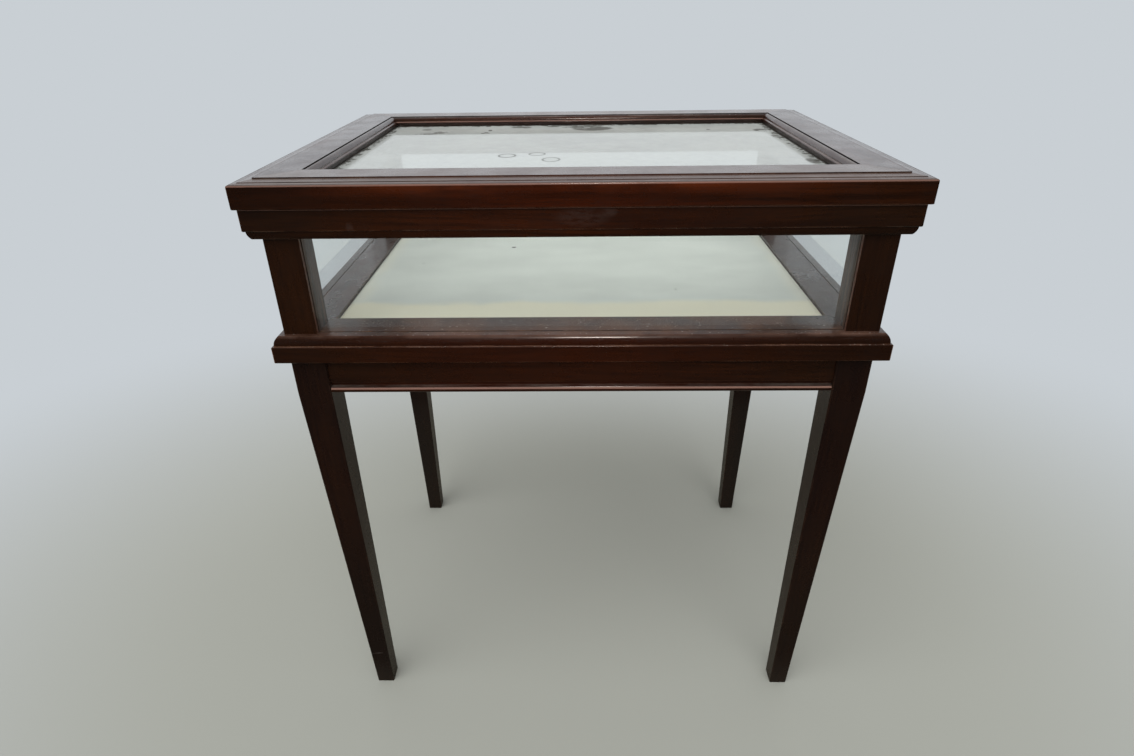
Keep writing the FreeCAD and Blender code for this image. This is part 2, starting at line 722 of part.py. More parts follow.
def hinge_seats(body, face, up, face_inset):
    """Cuts for both hinges in a back member: leaf recesses, knuckle notches and screw holes."""
    pivot_inset = "(rail_inset - pivot_offset)"
    clear = "(knuckle_radius + knuckle_gap)"
    leaf_half = "(hinge_length / 2 + knuckle_gap)"
    notch_half = "(hinge_length / 2 + pin_overhang + knuckle_gap)"
    upward = up == "1"
    recess = new_sketch(body, "XY_Plane", face)
    notch = new_sketch(body, "XY_Plane", face)
    holes = new_sketch(body, "XY_Plane", face)
    for end in (1, -1):
        middle = f"{end} * {HINGE_X}"
        add_loop(recess, rectangle(f"{middle} - {leaf_half}", f"{pivot_inset} + {clear}",
                                   f"{middle} + {leaf_half}", f"{pivot_inset} + leaf_width + knuckle_gap"))
        add_loop(notch, rectangle(f"{middle} - {notch_half}", f"{face_inset} - 1",
                                  f"{middle} + {notch_half}", f"{pivot_inset} + {clear}"))
        for place in (-1, 0, 1):
            add_circle(holes, f"{middle} + {place} * hinge_screw_pitch", screw_inset(),
                       "hinge_screw_radius + screw_fit")
    pocket(body, recess, "leaf_thickness", upward)
    pocket(body, notch, clear, upward)
    pocket(body, holes, "hinge_screw_length + screw_fit", upward)


def screw_inset():
    """Hinge screws stand midway between the knuckle and the leaf's free edge."""
    return "(rail_inset - pivot_offset + (leaf_width + knuckle_radius) / 2)"


def knuckle_places(holder):
    """Middles of a leaf's knuckles, in fifths of the hinge, counted from its middle."""
    return (-2, 0, 2) if holder == "case" else (-1, 1)


def hinge_leaf(holder, side):
    """One leaf: a plate, cut back beside the other leaf's knuckles, its own knuckles and a bore."""
    across = {"left": -1, "right": 1}[side]
    middle = f"{across} * {HINGE_X}"
    other = {"case": "lid", "lid": "case"}[holder]
    plate_z = {
        "case": f"{PIVOT_Z} - lid_gap / 2 - leaf_thickness",
        "lid": f"{PIVOT_Z} + lid_gap / 2",
    }[holder]
    clear = "(knuckle_radius + knuckle_gap)"
    fifth = "(hinge_length / 5)"
    plate = primitive("Box", (f"{middle} - hinge_length / 2", f"{PIVOT_Y} - leaf_width", plate_z),
                      Length="hinge_length", Width="leaf_width", Height="leaf_thickness")
    gaps = []
    for place in knuckle_places(other):
        spot = (f"{middle} + {place} * {fifth} - {fifth} / 2 - knuckle_gap / 2",
                f"{PIVOT_Y} - {clear}", f"{plate_z} - 1")
        gaps.append(primitive("Box", spot, Length=f"{fifth} + knuckle_gap", Width=f"{clear} + 1",
                              Height="leaf_thickness + 2"))
    pieces = [cut(plate, gaps)]
    for place in knuckle_places(holder):
        pieces.append(along_pin(middle, f"{place} * {fifth}", f"{fifth} - knuckle_gap", "knuckle_radius"))
    fit = {"case": "pin_held_fit", "lid": "pin_running_fit"}[holder]
    drills = [along_pin(middle, "0", "hinge_length + 2", f"pin_radius + {fit}")]
    for place in (-1, 0, 1):
        drills.extend(hinge_screw(middle, place, holder, "screw_fit"))
    keep(cut(joined(pieces), drills), f"hinge_leaf_{holder}_{side}")


def along_pin(middle, offset, length, radius):
    """A cylinder on the pin's axis, centred at an offset from the hinge's middle."""
    rod = doc.addObject("Part::Cylinder", "Rod")
    rod.Placement = Placement(Vector(), Rotation(Vector(0, 1, 0), 90))
    rod.setExpression("Radius", bound(radius))
    rod.setExpression("Height", bound(length))
    rod.setExpression("Placement.Base.x", bound(f"{middle} + {offset} - ({length}) / 2"))
    rod.setExpression("Placement.Base.y", bound(PIVOT_Y))
    rod.setExpression("Placement.Base.z", bound(PIVOT_Z))
    return rod


def hinge_screw(middle, place, holder, grow="0"):
    """Cone head and plain shank of a countersunk screw, flush with its leaf, grown all round for a hole."""
    spot_x = f"{middle} + {place} * hinge_screw_pitch"
    spot_y = f"top_depth / 2 - {screw_inset()}"
    if holder == "case":
        face = RAIL_TOP
        cone_z = f"{face} - hinge_screw_sink"
        shank_z = f"{face} - hinge_screw_length"
        radii = ("hinge_screw_radius", "hinge_screw_head")
    else:
        face = LID_BOTTOM
        cone_z = face
        shank_z = face
        radii = ("hinge_screw_head", "hinge_screw_radius")
    cone = primitive("Cone", (spot_x, spot_y, cone_z), Radius1=f"{radii[0]} + {grow}",
                     Radius2=f"{radii[1]} + {grow}", Height="hinge_screw_sink")
    shank = primitive("Cylinder", (spot_x, spot_y, shank_z), Radius=f"hinge_screw_radius + {grow}",
                      Height="hinge_screw_length")
    return [cone, shank]


def hinge_screws(holder):
    screws = []
    for across in (-1, 1):
        for place in (-1, 0, 1):
            screws.append(joined(hinge_screw(f"{across} * {HINGE_X}", place, holder)))
    compound(screws, f"hinge_screws_{holder}")


def hinge_pin(side):
    across = {"left": -1, "right": 1}[side]
    pin = along_pin(f"{across} * {HINGE_X}", "0", "hinge_length + 2 * pin_overhang", "pin_radius")
    keep(pin, f"hinge_pin_{side}")


# ---- build, check and write -----------------------------------------------------------------------


def build():
    for corner in CORNERS:
        leg(corner)
        corner_block(corner)
        post(corner)
    for side in SIDES:
        apron(side)
        apron_bead(side)
        base_frame(side)
        side_glass(side)
        case_rail(side)
        lid_frame(side)
        lid_moulding(side)
    frame_screws()
    post_dowels()
    splines("leg_height + frame_height / 3", "base_frame_splines")
    splines(f"{RAIL_BOTTOM} + rail_height / 2", "case_rail_splines")
    splines(f"{LID_BOTTOM} + lid_thickness / 3", "lid_frame_splines")
    flat_panel("base_panel", "frame_inner_inset + panel_fit", LIP_TOP, "panel_thickness")
    flat_panel("display_lining", "frame_inner_inset + panel_fit", PANEL_TOP, "lining_thickness")
    flat_panel("lid_glass", "lid_frame_width + panel_fit", GLASS_BOTTOM, "lid_glass_thickness")
    for side in ("left", "right"):
        hinge_leaf("case", side)
        hinge_leaf("lid", side)
        hinge_pin(side)
    hinge_screws("case")
    hinge_screws("lid")
    doc.recompute()


def check():
    for obj in doc.Objects:
        if "Invalid" in obj.State or "Error" in obj.State:
            raise RuntimeError(f"{obj.Label} failed: {obj.State}")
    for node in nodes:
        if node.Shape.isNull() or not node.Shape.isValid():
            raise RuntimeError(f"{node.Label} has no valid shape")


def write():
    os.makedirs("parts", exist_ok=True)
    for node in nodes:
        node.Shape.exportStep(f"parts/{node.Label}.step")
        print(f"{node.Label}: {len(node.Shape.Solids)} solid(s), {node.Shape.Volume / 1000:.2f} cm3")


build()
check()
write()
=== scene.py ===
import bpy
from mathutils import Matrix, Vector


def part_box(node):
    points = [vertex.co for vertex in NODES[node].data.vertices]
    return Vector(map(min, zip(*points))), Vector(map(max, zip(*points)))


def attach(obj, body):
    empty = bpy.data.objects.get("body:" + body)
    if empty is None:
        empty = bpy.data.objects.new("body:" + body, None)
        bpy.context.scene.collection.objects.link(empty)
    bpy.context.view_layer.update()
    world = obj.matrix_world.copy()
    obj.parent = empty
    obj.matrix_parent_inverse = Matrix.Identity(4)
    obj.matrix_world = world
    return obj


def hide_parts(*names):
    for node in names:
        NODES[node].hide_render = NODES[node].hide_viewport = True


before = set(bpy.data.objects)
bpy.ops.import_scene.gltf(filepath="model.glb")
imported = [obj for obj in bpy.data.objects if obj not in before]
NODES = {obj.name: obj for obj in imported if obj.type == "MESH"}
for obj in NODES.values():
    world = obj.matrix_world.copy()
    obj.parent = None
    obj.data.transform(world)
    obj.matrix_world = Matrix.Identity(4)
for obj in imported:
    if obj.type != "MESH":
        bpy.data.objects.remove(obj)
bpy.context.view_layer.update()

import math
from collections import namedtuple

import bpy
import numpy as np
from bpy.props import FloatProperty, FloatVectorProperty, IntProperty, PointerProperty
from mathutils import Matrix

bl_info = {
    "name": "Collectors display table",
    "version": (1, 0, 0),
    "blender": (4, 5, 0),
    "location": "3D View > Sidebar > Display Table",
    "description": "Dresses a mahogany display table with a glazed case",
    "category": "Object",
}

SIDES = ("front", "back", "left", "right")
CORNERS = ("front_left", "front_right", "back_left", "back_right")
X, Y, Z = range(3)
# Each direction of the grain, with the sides whose pieces run along it.
RUNS = (("X", SIDES[:2]), ("Y", SIDES[2:]))

# Measures in metres.
LID_GLASS_TOP = 0.7466
LID_OPENING_HALF = (0.2772, 0.1842)
LINING_TOP = 0.588
RAIL_FRONT = -0.2452
LEG_FRONT = -0.219
# How far small marks reach on each side of their surface.
MARK_DEPTH = 0.01
# A reach that takes in every face, as it is longer than the table.
ANYWHERE = 1.0
# Softness of the borders of lines, and of the limit that a layer's faces lie within.
LINE_SOFTNESS = 0.0003
FACE_SOFTNESS = 0.0006

# A colour that comes in from low to high along an axis. faces is the axis that the faces look along and how
# far out they may lie, and along Z they look up. steps are those of the noise that breaks the layer up.
Layer = namedtuple("Layer", "colour share dulling axis low high faces steps", defaults=(None, None))
# A narrow band of a colour, over the wear and dust.
Line = namedtuple("Line", "colour share axis low high")
# A patch at one place, with its half lengths and the steps of the noise that breaks it up.
Mark = namedtuple("Mark", "centre reach steps strength")


def hue(code):
    """A colour as a maker writes it, two hexadecimal digits a channel, turned into linear light."""
    channels = [int(code[i:i + 2], 16) / 255 for i in (0, 2, 4)]
    return tuple(c / 12.92 if c <= 0.04045 else ((c + 0.055) / 1.055) ** 2.4 for c in channels)


def colour_setting(name, description, code):
    return FloatVectorProperty(name=name, description=description, subtype="COLOR", size=3, min=0.0, max=1.0,
                               default=hue(code))


def share_setting(name, description, default):
    return FloatProperty(name=name, description=description, subtype="FACTOR", min=0.0, max=1.0,
                         default=default)


def length_setting(name, description, default):
    return FloatProperty(name=name, description=description, subtype="DISTANCE", unit="LENGTH", min=0.0,
                         precision=5, default=default)


def angle_setting(name, description, default):
    return FloatProperty(name=name, description=description, subtype="ANGLE", unit="ROTATION",
                         default=default)


def power_setting(name, description, default):
    return FloatProperty(name=name, description=description, min=0.0, default=default)


class TimberSettings(bpy.types.PropertyGroup):
    """Colours and polish of the mahogany, with the colours of its painted highlights, reflections and shade.
    """
    deep: colour_setting("Deep bands", "Darkest bands of the grain", "210B04")
    body: colour_setting("Body", "Main colour of the timber", "3D1705")
    glow: colour_setting("Glow", "Red streaks where the polish is thin", "521F06")
    # Middle and ends paint a falloff of light along the long faces: the middle is lit brighter and redder,
    # and the ends get painted shade.
    middle: colour_setting("Middle", "Multiplies the timber in the middle of the long faces", "FFFAF0")
    ends: colour_setting("Ends", "Multiplies the timber at the ends of the long faces", "C8EAFF")
    rubbed: colour_setting("Rubbed edge", "Timber that shows where the polish has rubbed off", "8C6248")
    scuffed: colour_setting("Scuffs", "Dull patches in the polish", "6B625E")
    dust: colour_setting("Dust", "Dust on surfaces that face up", "B4ADA4")
    # Painted light: a warm orange glow along the top of the lid's faces, strongest in the middle.
    warm_edge: colour_setting("Warm edge", "Thin polish along the top of the lid's faces", "6B2A08")
    # Painted shade: the dark colour laid in the lid's quirks and sunk lines, in the posts' glass grooves and
    # down the moulding to the glass.
    grime: colour_setting("Grime", "Old dirt in corners and sunk lines", "1A1410")
    # Painted highlight: a lighter strip along the posts' inner arris beside the side glass.
    arris: colour_setting("Arris", "Faded timber beside the side glass", "6A4638")
    # Painted reflection: a pale brown sheen, with the polish taken off, on the ledge tops and on the posts'
    # faces behind the side glass.
    haze: colour_setting("Haze", "Brown haze on ledges and behind the side glass", "6C4C3D")
    # Painted highlight: a pale line along the crests of beads and arrises.
    crest: colour_setting("Crest", "Faded timber along the crests of beads", "A87F70")
    # A pale pinkish colour laid on the tops of the lid's front and back members.
    bloom: colour_setting("Bloom", "Pale pinkish bloom on the lid's long members", "CDB4AA")
    # Darkens the legs towards their bottom.
    smoke: colour_setting("Smoke", "Dark polish low on the legs", "17130F")
    roughness: share_setting("Roughness", "Roughness of the polished surface", 0.27)
    shine: share_setting("Shine", "Specular level of the timber under its polish", 0.25)
    polish: share_setting("Polish", "Weight of the polish layer", 0.55)
    polish_roughness: share_setting("Polish roughness", "Roughness of the polish layer", 0.13)
    rounding: length_setting("Edge rounding", "Softness of the sharp edges", 0.0009)
    wear_width: length_setting("Wear width", "Reach of the rubbed strip along an edge", 0.0013)


class GlassSettings(bpy.types.PropertyGroup):
    """Tint and dirt of the panes."""
    tint: colour_setting("Tint", "Colour of the clear glass", "FCFEFD")
    let_through: colour_setting("Light let through", "Lamp light behind one face of a pane", "FBFDFC")
    dust: colour_setting("Dust", "Colour of the dust film on the glass", "CFD4D0")
    grime: colour_setting("Grime", "Colour of old dirt along the edges", "2E2820")
    lid_film: share_setting("Lid film", "Share of the lid glass that dust covers, seen square on", 0.11)
    side_film: share_setting("Side film", "Share of the side panes that dust covers, seen square on", 0.012)
    index: FloatProperty(name="Index", description="Index of refraction", min=1.0, max=2.0, default=1.5)


class LiningSettings(bpy.types.PropertyGroup):
    """Cloth pad on the floor of the case."""
    cloth: colour_setting("Cloth", "Colour of the cloth", "E6EAE3")
    # The pale warm margin is partly the cloth's unfaded colour and partly painted light, brightened where the
    # front rail shades the pad.
    margin: colour_setting("Margin", "Warmer colour along the front, faint at the sides", "F8F3DC")
    margin_width: length_setting("Margin width", "Measure of the warmer margin", 0.042)
    speck: colour_setting("Specks", "Small stains", "4A4A44")
    thread: length_setting("Thread pitch", "Distance between threads", 0.0007)
    roll: length_setting("Edge roll", "Width of the rounded edge of the pad", 0.001)
    sink: length_setting("Crease depth", "Depth of the creases in the cloth", 0.0003)
    columns: IntProperty(name="Columns", description="Steps along the pad", min=8, default=90)
    rows: IntProperty(name="Rows", description="Steps across the pad", min=8, default=60)


class FittingSettings(bpy.types.PropertyGroup):
    """Metals and bare timber of the hidden parts."""
    brass: colour_setting("Brass", "Bare brass", "C9A35A")
    tarnish: colour_setting("Tarnish", "Darkened brass", "5E4622")
    steel: colour_setting("Steel", "Zinc on the long screws", "9FA1A3")
    rust: colour_setting("Stain", "Brown stain on the steel", "5B4A3C")
    beech: colour_setting("Beech", "Blocks, tongues and dowels", "C49A6C")
    beech_deep: colour_setting("Beech flecks", "Darker flecks in the beech", "9C7148")
    ply: colour_setting("Plywood", "Face of the bottom panel", "B68E5E")
    ply_deep: colour_setting("Plywood grain", "Darker grain of the bottom panel", "8A6238")


class StageSettings(bpy.types.PropertyGroup):
    """Camera, floor and light."""
    camera_place: FloatVectorProperty(name="Camera place", description="Where the camera stands", size=3,
                                      subtype="XYZ", unit="LENGTH", precision=5,
                                      default=(-0.00008, -0.91114, 0.90363))
    turn: angle_setting("Turn", "Camera turned from straight ahead", -0.02113)
    tilt: angle_setting("Tilt", "Camera tilted up", -0.49747)
    lean: angle_setting("Lean", "Camera leaned to its side", -0.01402)
    lens: FloatProperty(name="Lens", description="Focal length on a 36 mm sensor", subtype="DISTANCE_CAMERA",
                        unit="CAMERA", default=21.659)
    floor: colour_setting("Floor", "Floor round the table", "A8AAA2")
    far: colour_setting("Distance", "Floor and backdrop far from the table", "C9CFD4")
    fill: share_setting("Fill", "Even light from all round", 0.58)
    bright: share_setting("Bright side", "What polished surfaces mirror behind the table", 0.8)
    dim: share_setting("Dim side", "What polished surfaces mirror in front of the table", 0.04)
    mirrored_front: share_setting("Mirrored front floor", "What they mirror of the floor in front", 0.02)
    mirrored_floor: share_setting("Mirrored floor", "What they mirror of the floor farther back", 0.14)
    lamp: power_setting("Lamp", "Strength of the broad lamp overhead", 2.0)
    lamp_spread: angle_setting("Lamp spread", "Breadth of the broad lamp", math.radians(75))
    glint: power_setting("Glint", "Power of the small lamp that only glints on edges", 14.0)


class Wiring:
    """A node tree, with short calls that add a node, fill or link its inputs, and return its output."""

    def __init__(self, tree):
        self.tree = tree

    def fill(self, sockets, values):
        """Links or sets sockets, each known by its name or number."""
        for key, value in values.items():
            socket = sockets[key]
            if isinstance(value, bpy.types.NodeSocket):
                self.tree.links.new(value, socket)
            elif socket.type == "RGBA" and len(value) == 3:
                socket.default_value = (*value, 1.0)
            else:
                socket.default_value = value

    def add(self, kind, values=None, **settings):
        node = self.tree.nodes.new("ShaderNode" + kind)
        for name, value in settings.items():
            setattr(node, name, value)
        self.fill(node.inputs, values or {})
        return node

    def maths(self, operation, *values, clamp=False):
        return self.add("Math", dict(enumerate(values)), operation=operation, use_clamp=clamp).outputs[0]

    def times(self, first, *others):
        for other in others:
            first = self.maths("MULTIPLY", first, other)
        return first

    def vector(self, operation, *values):
        node = self.add("VectorMath", dict(enumerate(values)), operation=operation)
        return node.outputs["Value" if operation in ("LENGTH", "DOT_PRODUCT") else "Vector"]

    def split(self, vector):
        return self.add("SeparateXYZ", {0: vector}).outputs

    def combine(self, *values):
        return self.add("CombineXYZ", dict(enumerate(values))).outputs[0]

    def coords(self, name):
        return self.add("TexCoord").outputs[name]

    def between(self, value, low, high, start=0.0, end=1.0):
        """Smooth step of value from start, at low, to end, at high."""
        return self.add("MapRange", {"Value": value, "From Min": low, "From Max": high, "To Min": start,
                                     "To Max": end}, interpolation_type="SMOOTHSTEP").outputs[0]

    def blend(self, share, first, second):
        """Mix of two numbers."""
        return self.add("Mix", {0: share, 2: first, 3: second}, data_type="FLOAT").outputs[0]

    def mix(self, share, first, second, way="MIX"):
        """Mix of two colours."""
        return self.add("Mix", {0: share, 6: first, 7: second}, data_type="RGBA", blend_type=way).outputs[2]

    def noise(self, vector, steps, detail=2.0, roughness=0.5, output="Fac"):
        """Noise with this number of waves to a metre, along each axis or along all of them."""
        scaled = self.vector("MULTIPLY", vector, (steps,) * 3 if isinstance(steps, float) else steps)
        return self.add("TexNoise", {"Vector": scaled, "Scale": 1.0, "Detail": detail, "Roughness": roughness}
                        ).outputs[output]

    def bump(self, strength, depth, height, **more):
        values = {"Strength": strength, "Distance": depth, "Height": height, **more}
        return self.add("Bump", values).outputs[0]

    def group(self, maker, **values):
        """A node of the shared effect that maker builds, once, under its own name."""
        name = maker.__name__.replace("_", " ").title()
        node = self.add("Group", node_tree=bpy.data.node_groups.get(name) or maker(name))
        self.fill(node.inputs, values)
        return node.outputs

    def finish(self, surface):
        """Makes this shader the surface of the material."""
        out = next(node for node in self.tree.nodes if node.type == "OUTPUT_MATERIAL")
        self.tree.links.new(surface, out.inputs[0])


def effect(name, inputs, outputs):
    """A new node group with these named sockets. Returns its wiring, its inputs and its output node."""
    tree = bpy.data.node_groups.new(name, "ShaderNodeTree")
    for way, sockets in (("INPUT", inputs), ("OUTPUT", outputs)):
        for title, kind in sockets.items():
            tree.interface.new_socket(title, in_out=way, socket_type="NodeSocket" + kind)
    return Wiring(tree), tree.nodes.new("NodeGroupInput").outputs, tree.nodes.new("NodeGroupOutput").inputs


def timber_grain(name):
    """Grain that runs along X: broad bands, streaks and fine lines are noises stretched along X and bent by a
    slow noise. Their sum picks a colour between deep and body, a second broad noise adds the glow, and short
    open pores are the peaks of the finest noise."""
    w, given, out = effect(name, {"Vector": "Vector", "Deep": "Color", "Body": "Color", "Glow": "Color",
                                  "Figure": "Float"}, {"Color": "Color", "Pores": "Float", "Height": "Float"})
    bend = w.noise(given["Vector"], (2.5, 6.0, 6.0), output="Color")
    bend = w.vector("MULTIPLY", w.vector("SUBTRACT", bend, (0.5, 0.5, 0.5)), (0.0, 0.03, 0.03))
    course = w.vector("ADD", given["Vector"], bend)
    broad = w.noise(course, (1.6, 38.0, 38.0), 3.0)
    streak = w.noise(course, (7.0, 260.0, 260.0), 4.0, 0.62)
    fine = w.noise(course, (28.0, 800.0, 800.0))
    tone = w.maths("MULTIPLY_ADD", broad, 0.4, w.maths("MULTIPLY_ADD", streak, 0.4, w.times(fine, 0.2)))
    colour = w.mix(w.between(tone, 0.34, 0.64, 0.25, 1.0), given["Deep"], given["Body"])
    warm = w.noise(w.vector("ADD", course, (3.1, 1.7, 0.4)), (1.8, 30.0, 30.0), 3.0, 0.6)
    warm = w.times(w.between(warm, 0.46, 0.72), w.between(streak, 0.3, 0.66))
    colour = w.mix(w.times(warm, given["Figure"]), colour, given["Glow"])
    pores = w.between(w.noise(course, (75.0, 1700.0, 1700.0), 1.0), 0.6, 0.72)
    colour = w.mix(w.times(pores, 0.65), colour, given["Deep"])
    height = w.maths("SUBTRACT", w.maths("MULTIPLY_ADD", streak, 0.5, w.times(fine, 0.35)), pores)
    w.fill(out, {"Color": colour, "Pores": pores, "Height": height})
    return w.tree


def edge_wear(name):
    """Rubbed strip along sharp edges: where the normal blurred over the given reach turns away from the true
    one, in patches that a slow noise leaves out."""
    w, given, out = effect(name, {"Vector": "Vector", "Reach": "Float"}, {"Mask": "Float"})
    soft = w.add("Bevel", {"Radius": given["Reach"]}, samples=4).outputs[0]
    true = w.add("NewGeometry").outputs["Normal"]
    turned = w.maths("SUBTRACT", 1.0, w.vector("DOT_PRODUCT", soft, true))
    patches = w.noise(given["Vector"], 22.0, 4.0, 0.7)
    w.fill(out, {"Mask": w.times(w.between(turned, 0.02, 0.2), w.between(patches, 0.42, 0.62))})
    return w.tree


def settled_dust(name):
    """Dust on faces that point up: the upward part of the normal times a cloudy noise, and sparse specks that
    are the peaks of a fine noise."""
    w, given, out = effect(name, {"Vector": "Vector"}, {"Film": "Float", "Specks": "Float"})
    up = w.between(w.split(w.coords("Normal"))[Z], 0.6, 0.98)
    film = w.between(w.noise(given["Vector"], 14.0, 5.0, 0.65), 0.35, 0.75)
    specks = w.between(w.noise(given["Vector"], 420.0, 1.0), 0.69, 0.75)
    w.fill(out, {"Film": w.times(up, film), "Specks": w.times(up, specks)})
    return w.tree


def local_mark(name):
    """A mark at one place: one minus the distance from its centre, measured in its half lengths, broken up by
    a noise whose steps are given. The ring is strong near its rim and faint within."""
    w, given, out = effect(name, {"Vector": "Vector", "Centre": "Vector", "Reach": "Vector",
                                  "Steps": "Vector"}, {"Mask": "Float", "Ring": "Float"})
    away = w.vector("SUBTRACT", given["Vector"], given["Centre"])
    away = w.vector("LENGTH", w.vector("DIVIDE", away, given["Reach"]))
    broken = w.between(w.noise(given["Vector"], given["Steps"], 4.0, 0.65), 0.34, 0.54, 0.12, 1.0)
    rim = w.between(w.maths("ABSOLUTE", w.maths("SUBTRACT", away, 0.8)), 0.2, 0.05)
    rim = w.maths("MAXIMUM", rim, w.between(away, 0.9, 0.7, 0.0, 0.25))
    w.fill(out, {"Mask": w.times(w.between(away, 1.0, 0.4), broken),
                 "Ring": w.times(rim, w.maths("MULTIPLY_ADD", broken, 0.7, 0.3))})
    return w.tree


def cloth_weave(name):
    """Plain weave on X and Y: two sets of threads whose backs are absolute sines, the one or the other on top
    by the sign of the product of their sines."""
    w, given, out = effect(name, {"Vector": "Vector", "Pitch": "Float"},
                           {"Thread": "Float", "Height": "Float"})
    turns = w.maths("DIVIDE", math.pi, given["Pitch"])
    split = w.split(given["Vector"])
    warp = w.maths("SINE", w.times(split[X], turns))
    weft = w.maths("SINE", w.times(split[Y], turns))
    over = w.between(w.times(warp, weft), -0.15, 0.15)
    back = w.blend(over, w.maths("ABSOLUTE", warp), w.maths("ABSOLUTE", weft))
    slub = w.noise(given["Vector"], (300.0, 40.0, 40.0), 3.0)
    w.fill(out, {"Thread": w.maths("MULTIPLY_ADD", over, 0.5, w.times(slub, 0.5)), "Height": back})
    return w.tree


def new_material(name):
    """An empty material: its wiring, its surface shader and its Object coordinates."""
    material = bpy.data.materials.new(name)
    material.use_nodes = True
    material.node_tree.nodes.clear()
    w = Wiring(material.node_tree)
    w.add("OutputMaterial")
    shader = w.add("BsdfPrincipled")
    w.finish(shader.outputs[0])
    return material, w, shader, w.coords("Object")


def along(w, place, grain, shift):
    """The place with its axes traded, so that the grain's axis comes first, and then shifted."""
    split = w.split(place)
    order = {"X": (X, Y, Z), "Y": (Y, X, Z), "Z": (Z, X, Y)}[grain]
    return w.vector("ADD", w.combine(*(split[axis] for axis in order)), shift)


def mahogany(name, grain, look, shift, tone, figure, wear, film=0.18, specks=0.0, roughness=None, scuffs=(),
             layers=(), lines=()):
    """French-polished mahogany. grain is the axis it runs along, shift moves the grain, tone multiplies its
    colours, figure is the strength of the glow, and wear, film and specks are those of the rubbed edges and
    the dust. Scuffs are dull Marks, and layers and lines are Layers and Lines in colours of the settings,
    some of which are painted highlights, reflections and shade. Along X the timber has painted light:
    brighter and redder in its middle, with painted shade at its ends."""
    material, w, shader, place = new_material(name)
    shades = {key: tuple(np.array(getattr(look, key)) * tone) for key in ("deep", "body", "glow")}
    course = along(w, place, grain, shift)
    wood = w.group(timber_grain, Vector=course, Deep=shades["deep"], Body=shades["body"], Glow=shades["glow"],
                   Figure=figure)
    drift = w.between(w.noise(place, 3.0), 0.35, 0.68, 0.35, 0.0)
    colour = w.mix(drift, wood["Color"], shades["deep"])
    split = w.split(place)
    facing = w.split(w.coords("Normal"))
    # Painted light: 1 in the middle of the table along X, falling to 0 towards its ends. It brightens the
    # middle of the long faces and the warm glow.
    lit_middle = w.between(w.maths("ABSOLUTE", w.maths("ADD", split[X], 0.02)), 0.33, 0.02)
    if grain == "X":
        colour = w.mix(1.0, colour, w.mix(lit_middle, look.ends, look.middle), "MULTIPLY")
    dulled = 0.0
    # Layers lay colours by place. Among them are painted shade, a painted reflection, painted highlights and
    # a painted warm glow.
    for shade, share, dulling, axis, low, high, faces, steps in layers:
        mask = w.times(w.between(w.maths("ABSOLUTE", split[axis]), low, high), share)
        if faces:
            normal, reach = faces
            inner = w.between(w.maths("ABSOLUTE", split[normal]), reach + FACE_SOFTNESS, reach)
            turned = facing[Z] if normal == Z else w.maths("ABSOLUTE", facing[normal])
            mask = w.times(mask, inner, w.between(turned, 0.5, 0.8))
        if steps:
            mask = w.times(mask, w.between(w.noise(place, steps, 4.0, 0.6), 0.36, 0.62, 0.15, 1.0))
        # The painted warm glow is strongest in the lit middle of the table.
        if shade == "warm_edge":
            mask = w.times(mask, lit_middle)
        colour = w.mix(mask, colour, getattr(look, shade))
        dulled = w.maths("MAXIMUM", w.times(mask, dulling), dulled)
    rubbed = w.times(w.group(edge_wear, Vector=place, Reach=look.wear_width)["Mask"], wear)
    colour = w.mix(rubbed, colour, look.rubbed)
    for centre, reach, steps, strength in scuffs:
        mark = w.group(local_mark, Vector=place, Centre=centre, Reach=reach, Steps=steps)["Mask"]
        mark = w.times(mark, strength)
        colour = w.mix(mark, colour, look.scuffed)
        dulled = w.maths("ADD", mark, dulled, clamp=True)
    dust = w.group(settled_dust, Vector=place)
    laid = w.maths("MULTIPLY_ADD", dust["Film"], film, w.times(dust["Specks"], specks))
    colour = w.mix(laid, colour, look.dust)
    # Lines paint narrow bands. Crest lines are painted highlights. Grime lines are painted shade that also
    # takes off the polish.
    for shade, share, axis, low, high in lines:
        at = w.maths("ABSOLUTE", split[axis])
        band = w.times(w.between(at, low - LINE_SOFTNESS, low), w.between(at, high + LINE_SOFTNESS, high),
                       share)
        colour = w.mix(band, colour, getattr(look, shade))
        if shade == "grime":
            dulled = w.maths("MAXIMUM", band, dulled)
    start = look.roughness if roughness is None else roughness
    gloss = w.between(w.noise(place, 26.0, 3.0, 0.6), 0.3, 0.7, start - 0.05, start + 0.08)
    for rough, share in ((wood["Pores"], 0.12), (rubbed, 0.25), (laid, 0.5), (dulled, 0.4)):
        gloss = w.maths("MULTIPLY_ADD", rough, share, gloss, clamp=True)
    bare = w.maths("ADD", w.maths("ADD", rubbed, dulled), w.times(laid, 0.8), clamp=True)
    soft = w.add("Bevel", {"Radius": look.rounding}, samples=4).outputs[0]
    ripple = w.noise(course, (30.0, 75.0, 75.0))
    height = w.maths("MULTIPLY_ADD", ripple, 0.3, w.times(wood["Height"], 0.5))
    w.fill(shader.inputs, {"Base Color": colour, "Roughness": gloss, "Specular IOR Level": look.shine,
                           "Coat Weight": w.times(w.maths("SUBTRACT", 1.0, bare), look.polish),
                           "Coat Roughness": look.polish_roughness,
                           "Normal": w.bump(0.35, 0.0004, height, Normal=soft)})
    return material


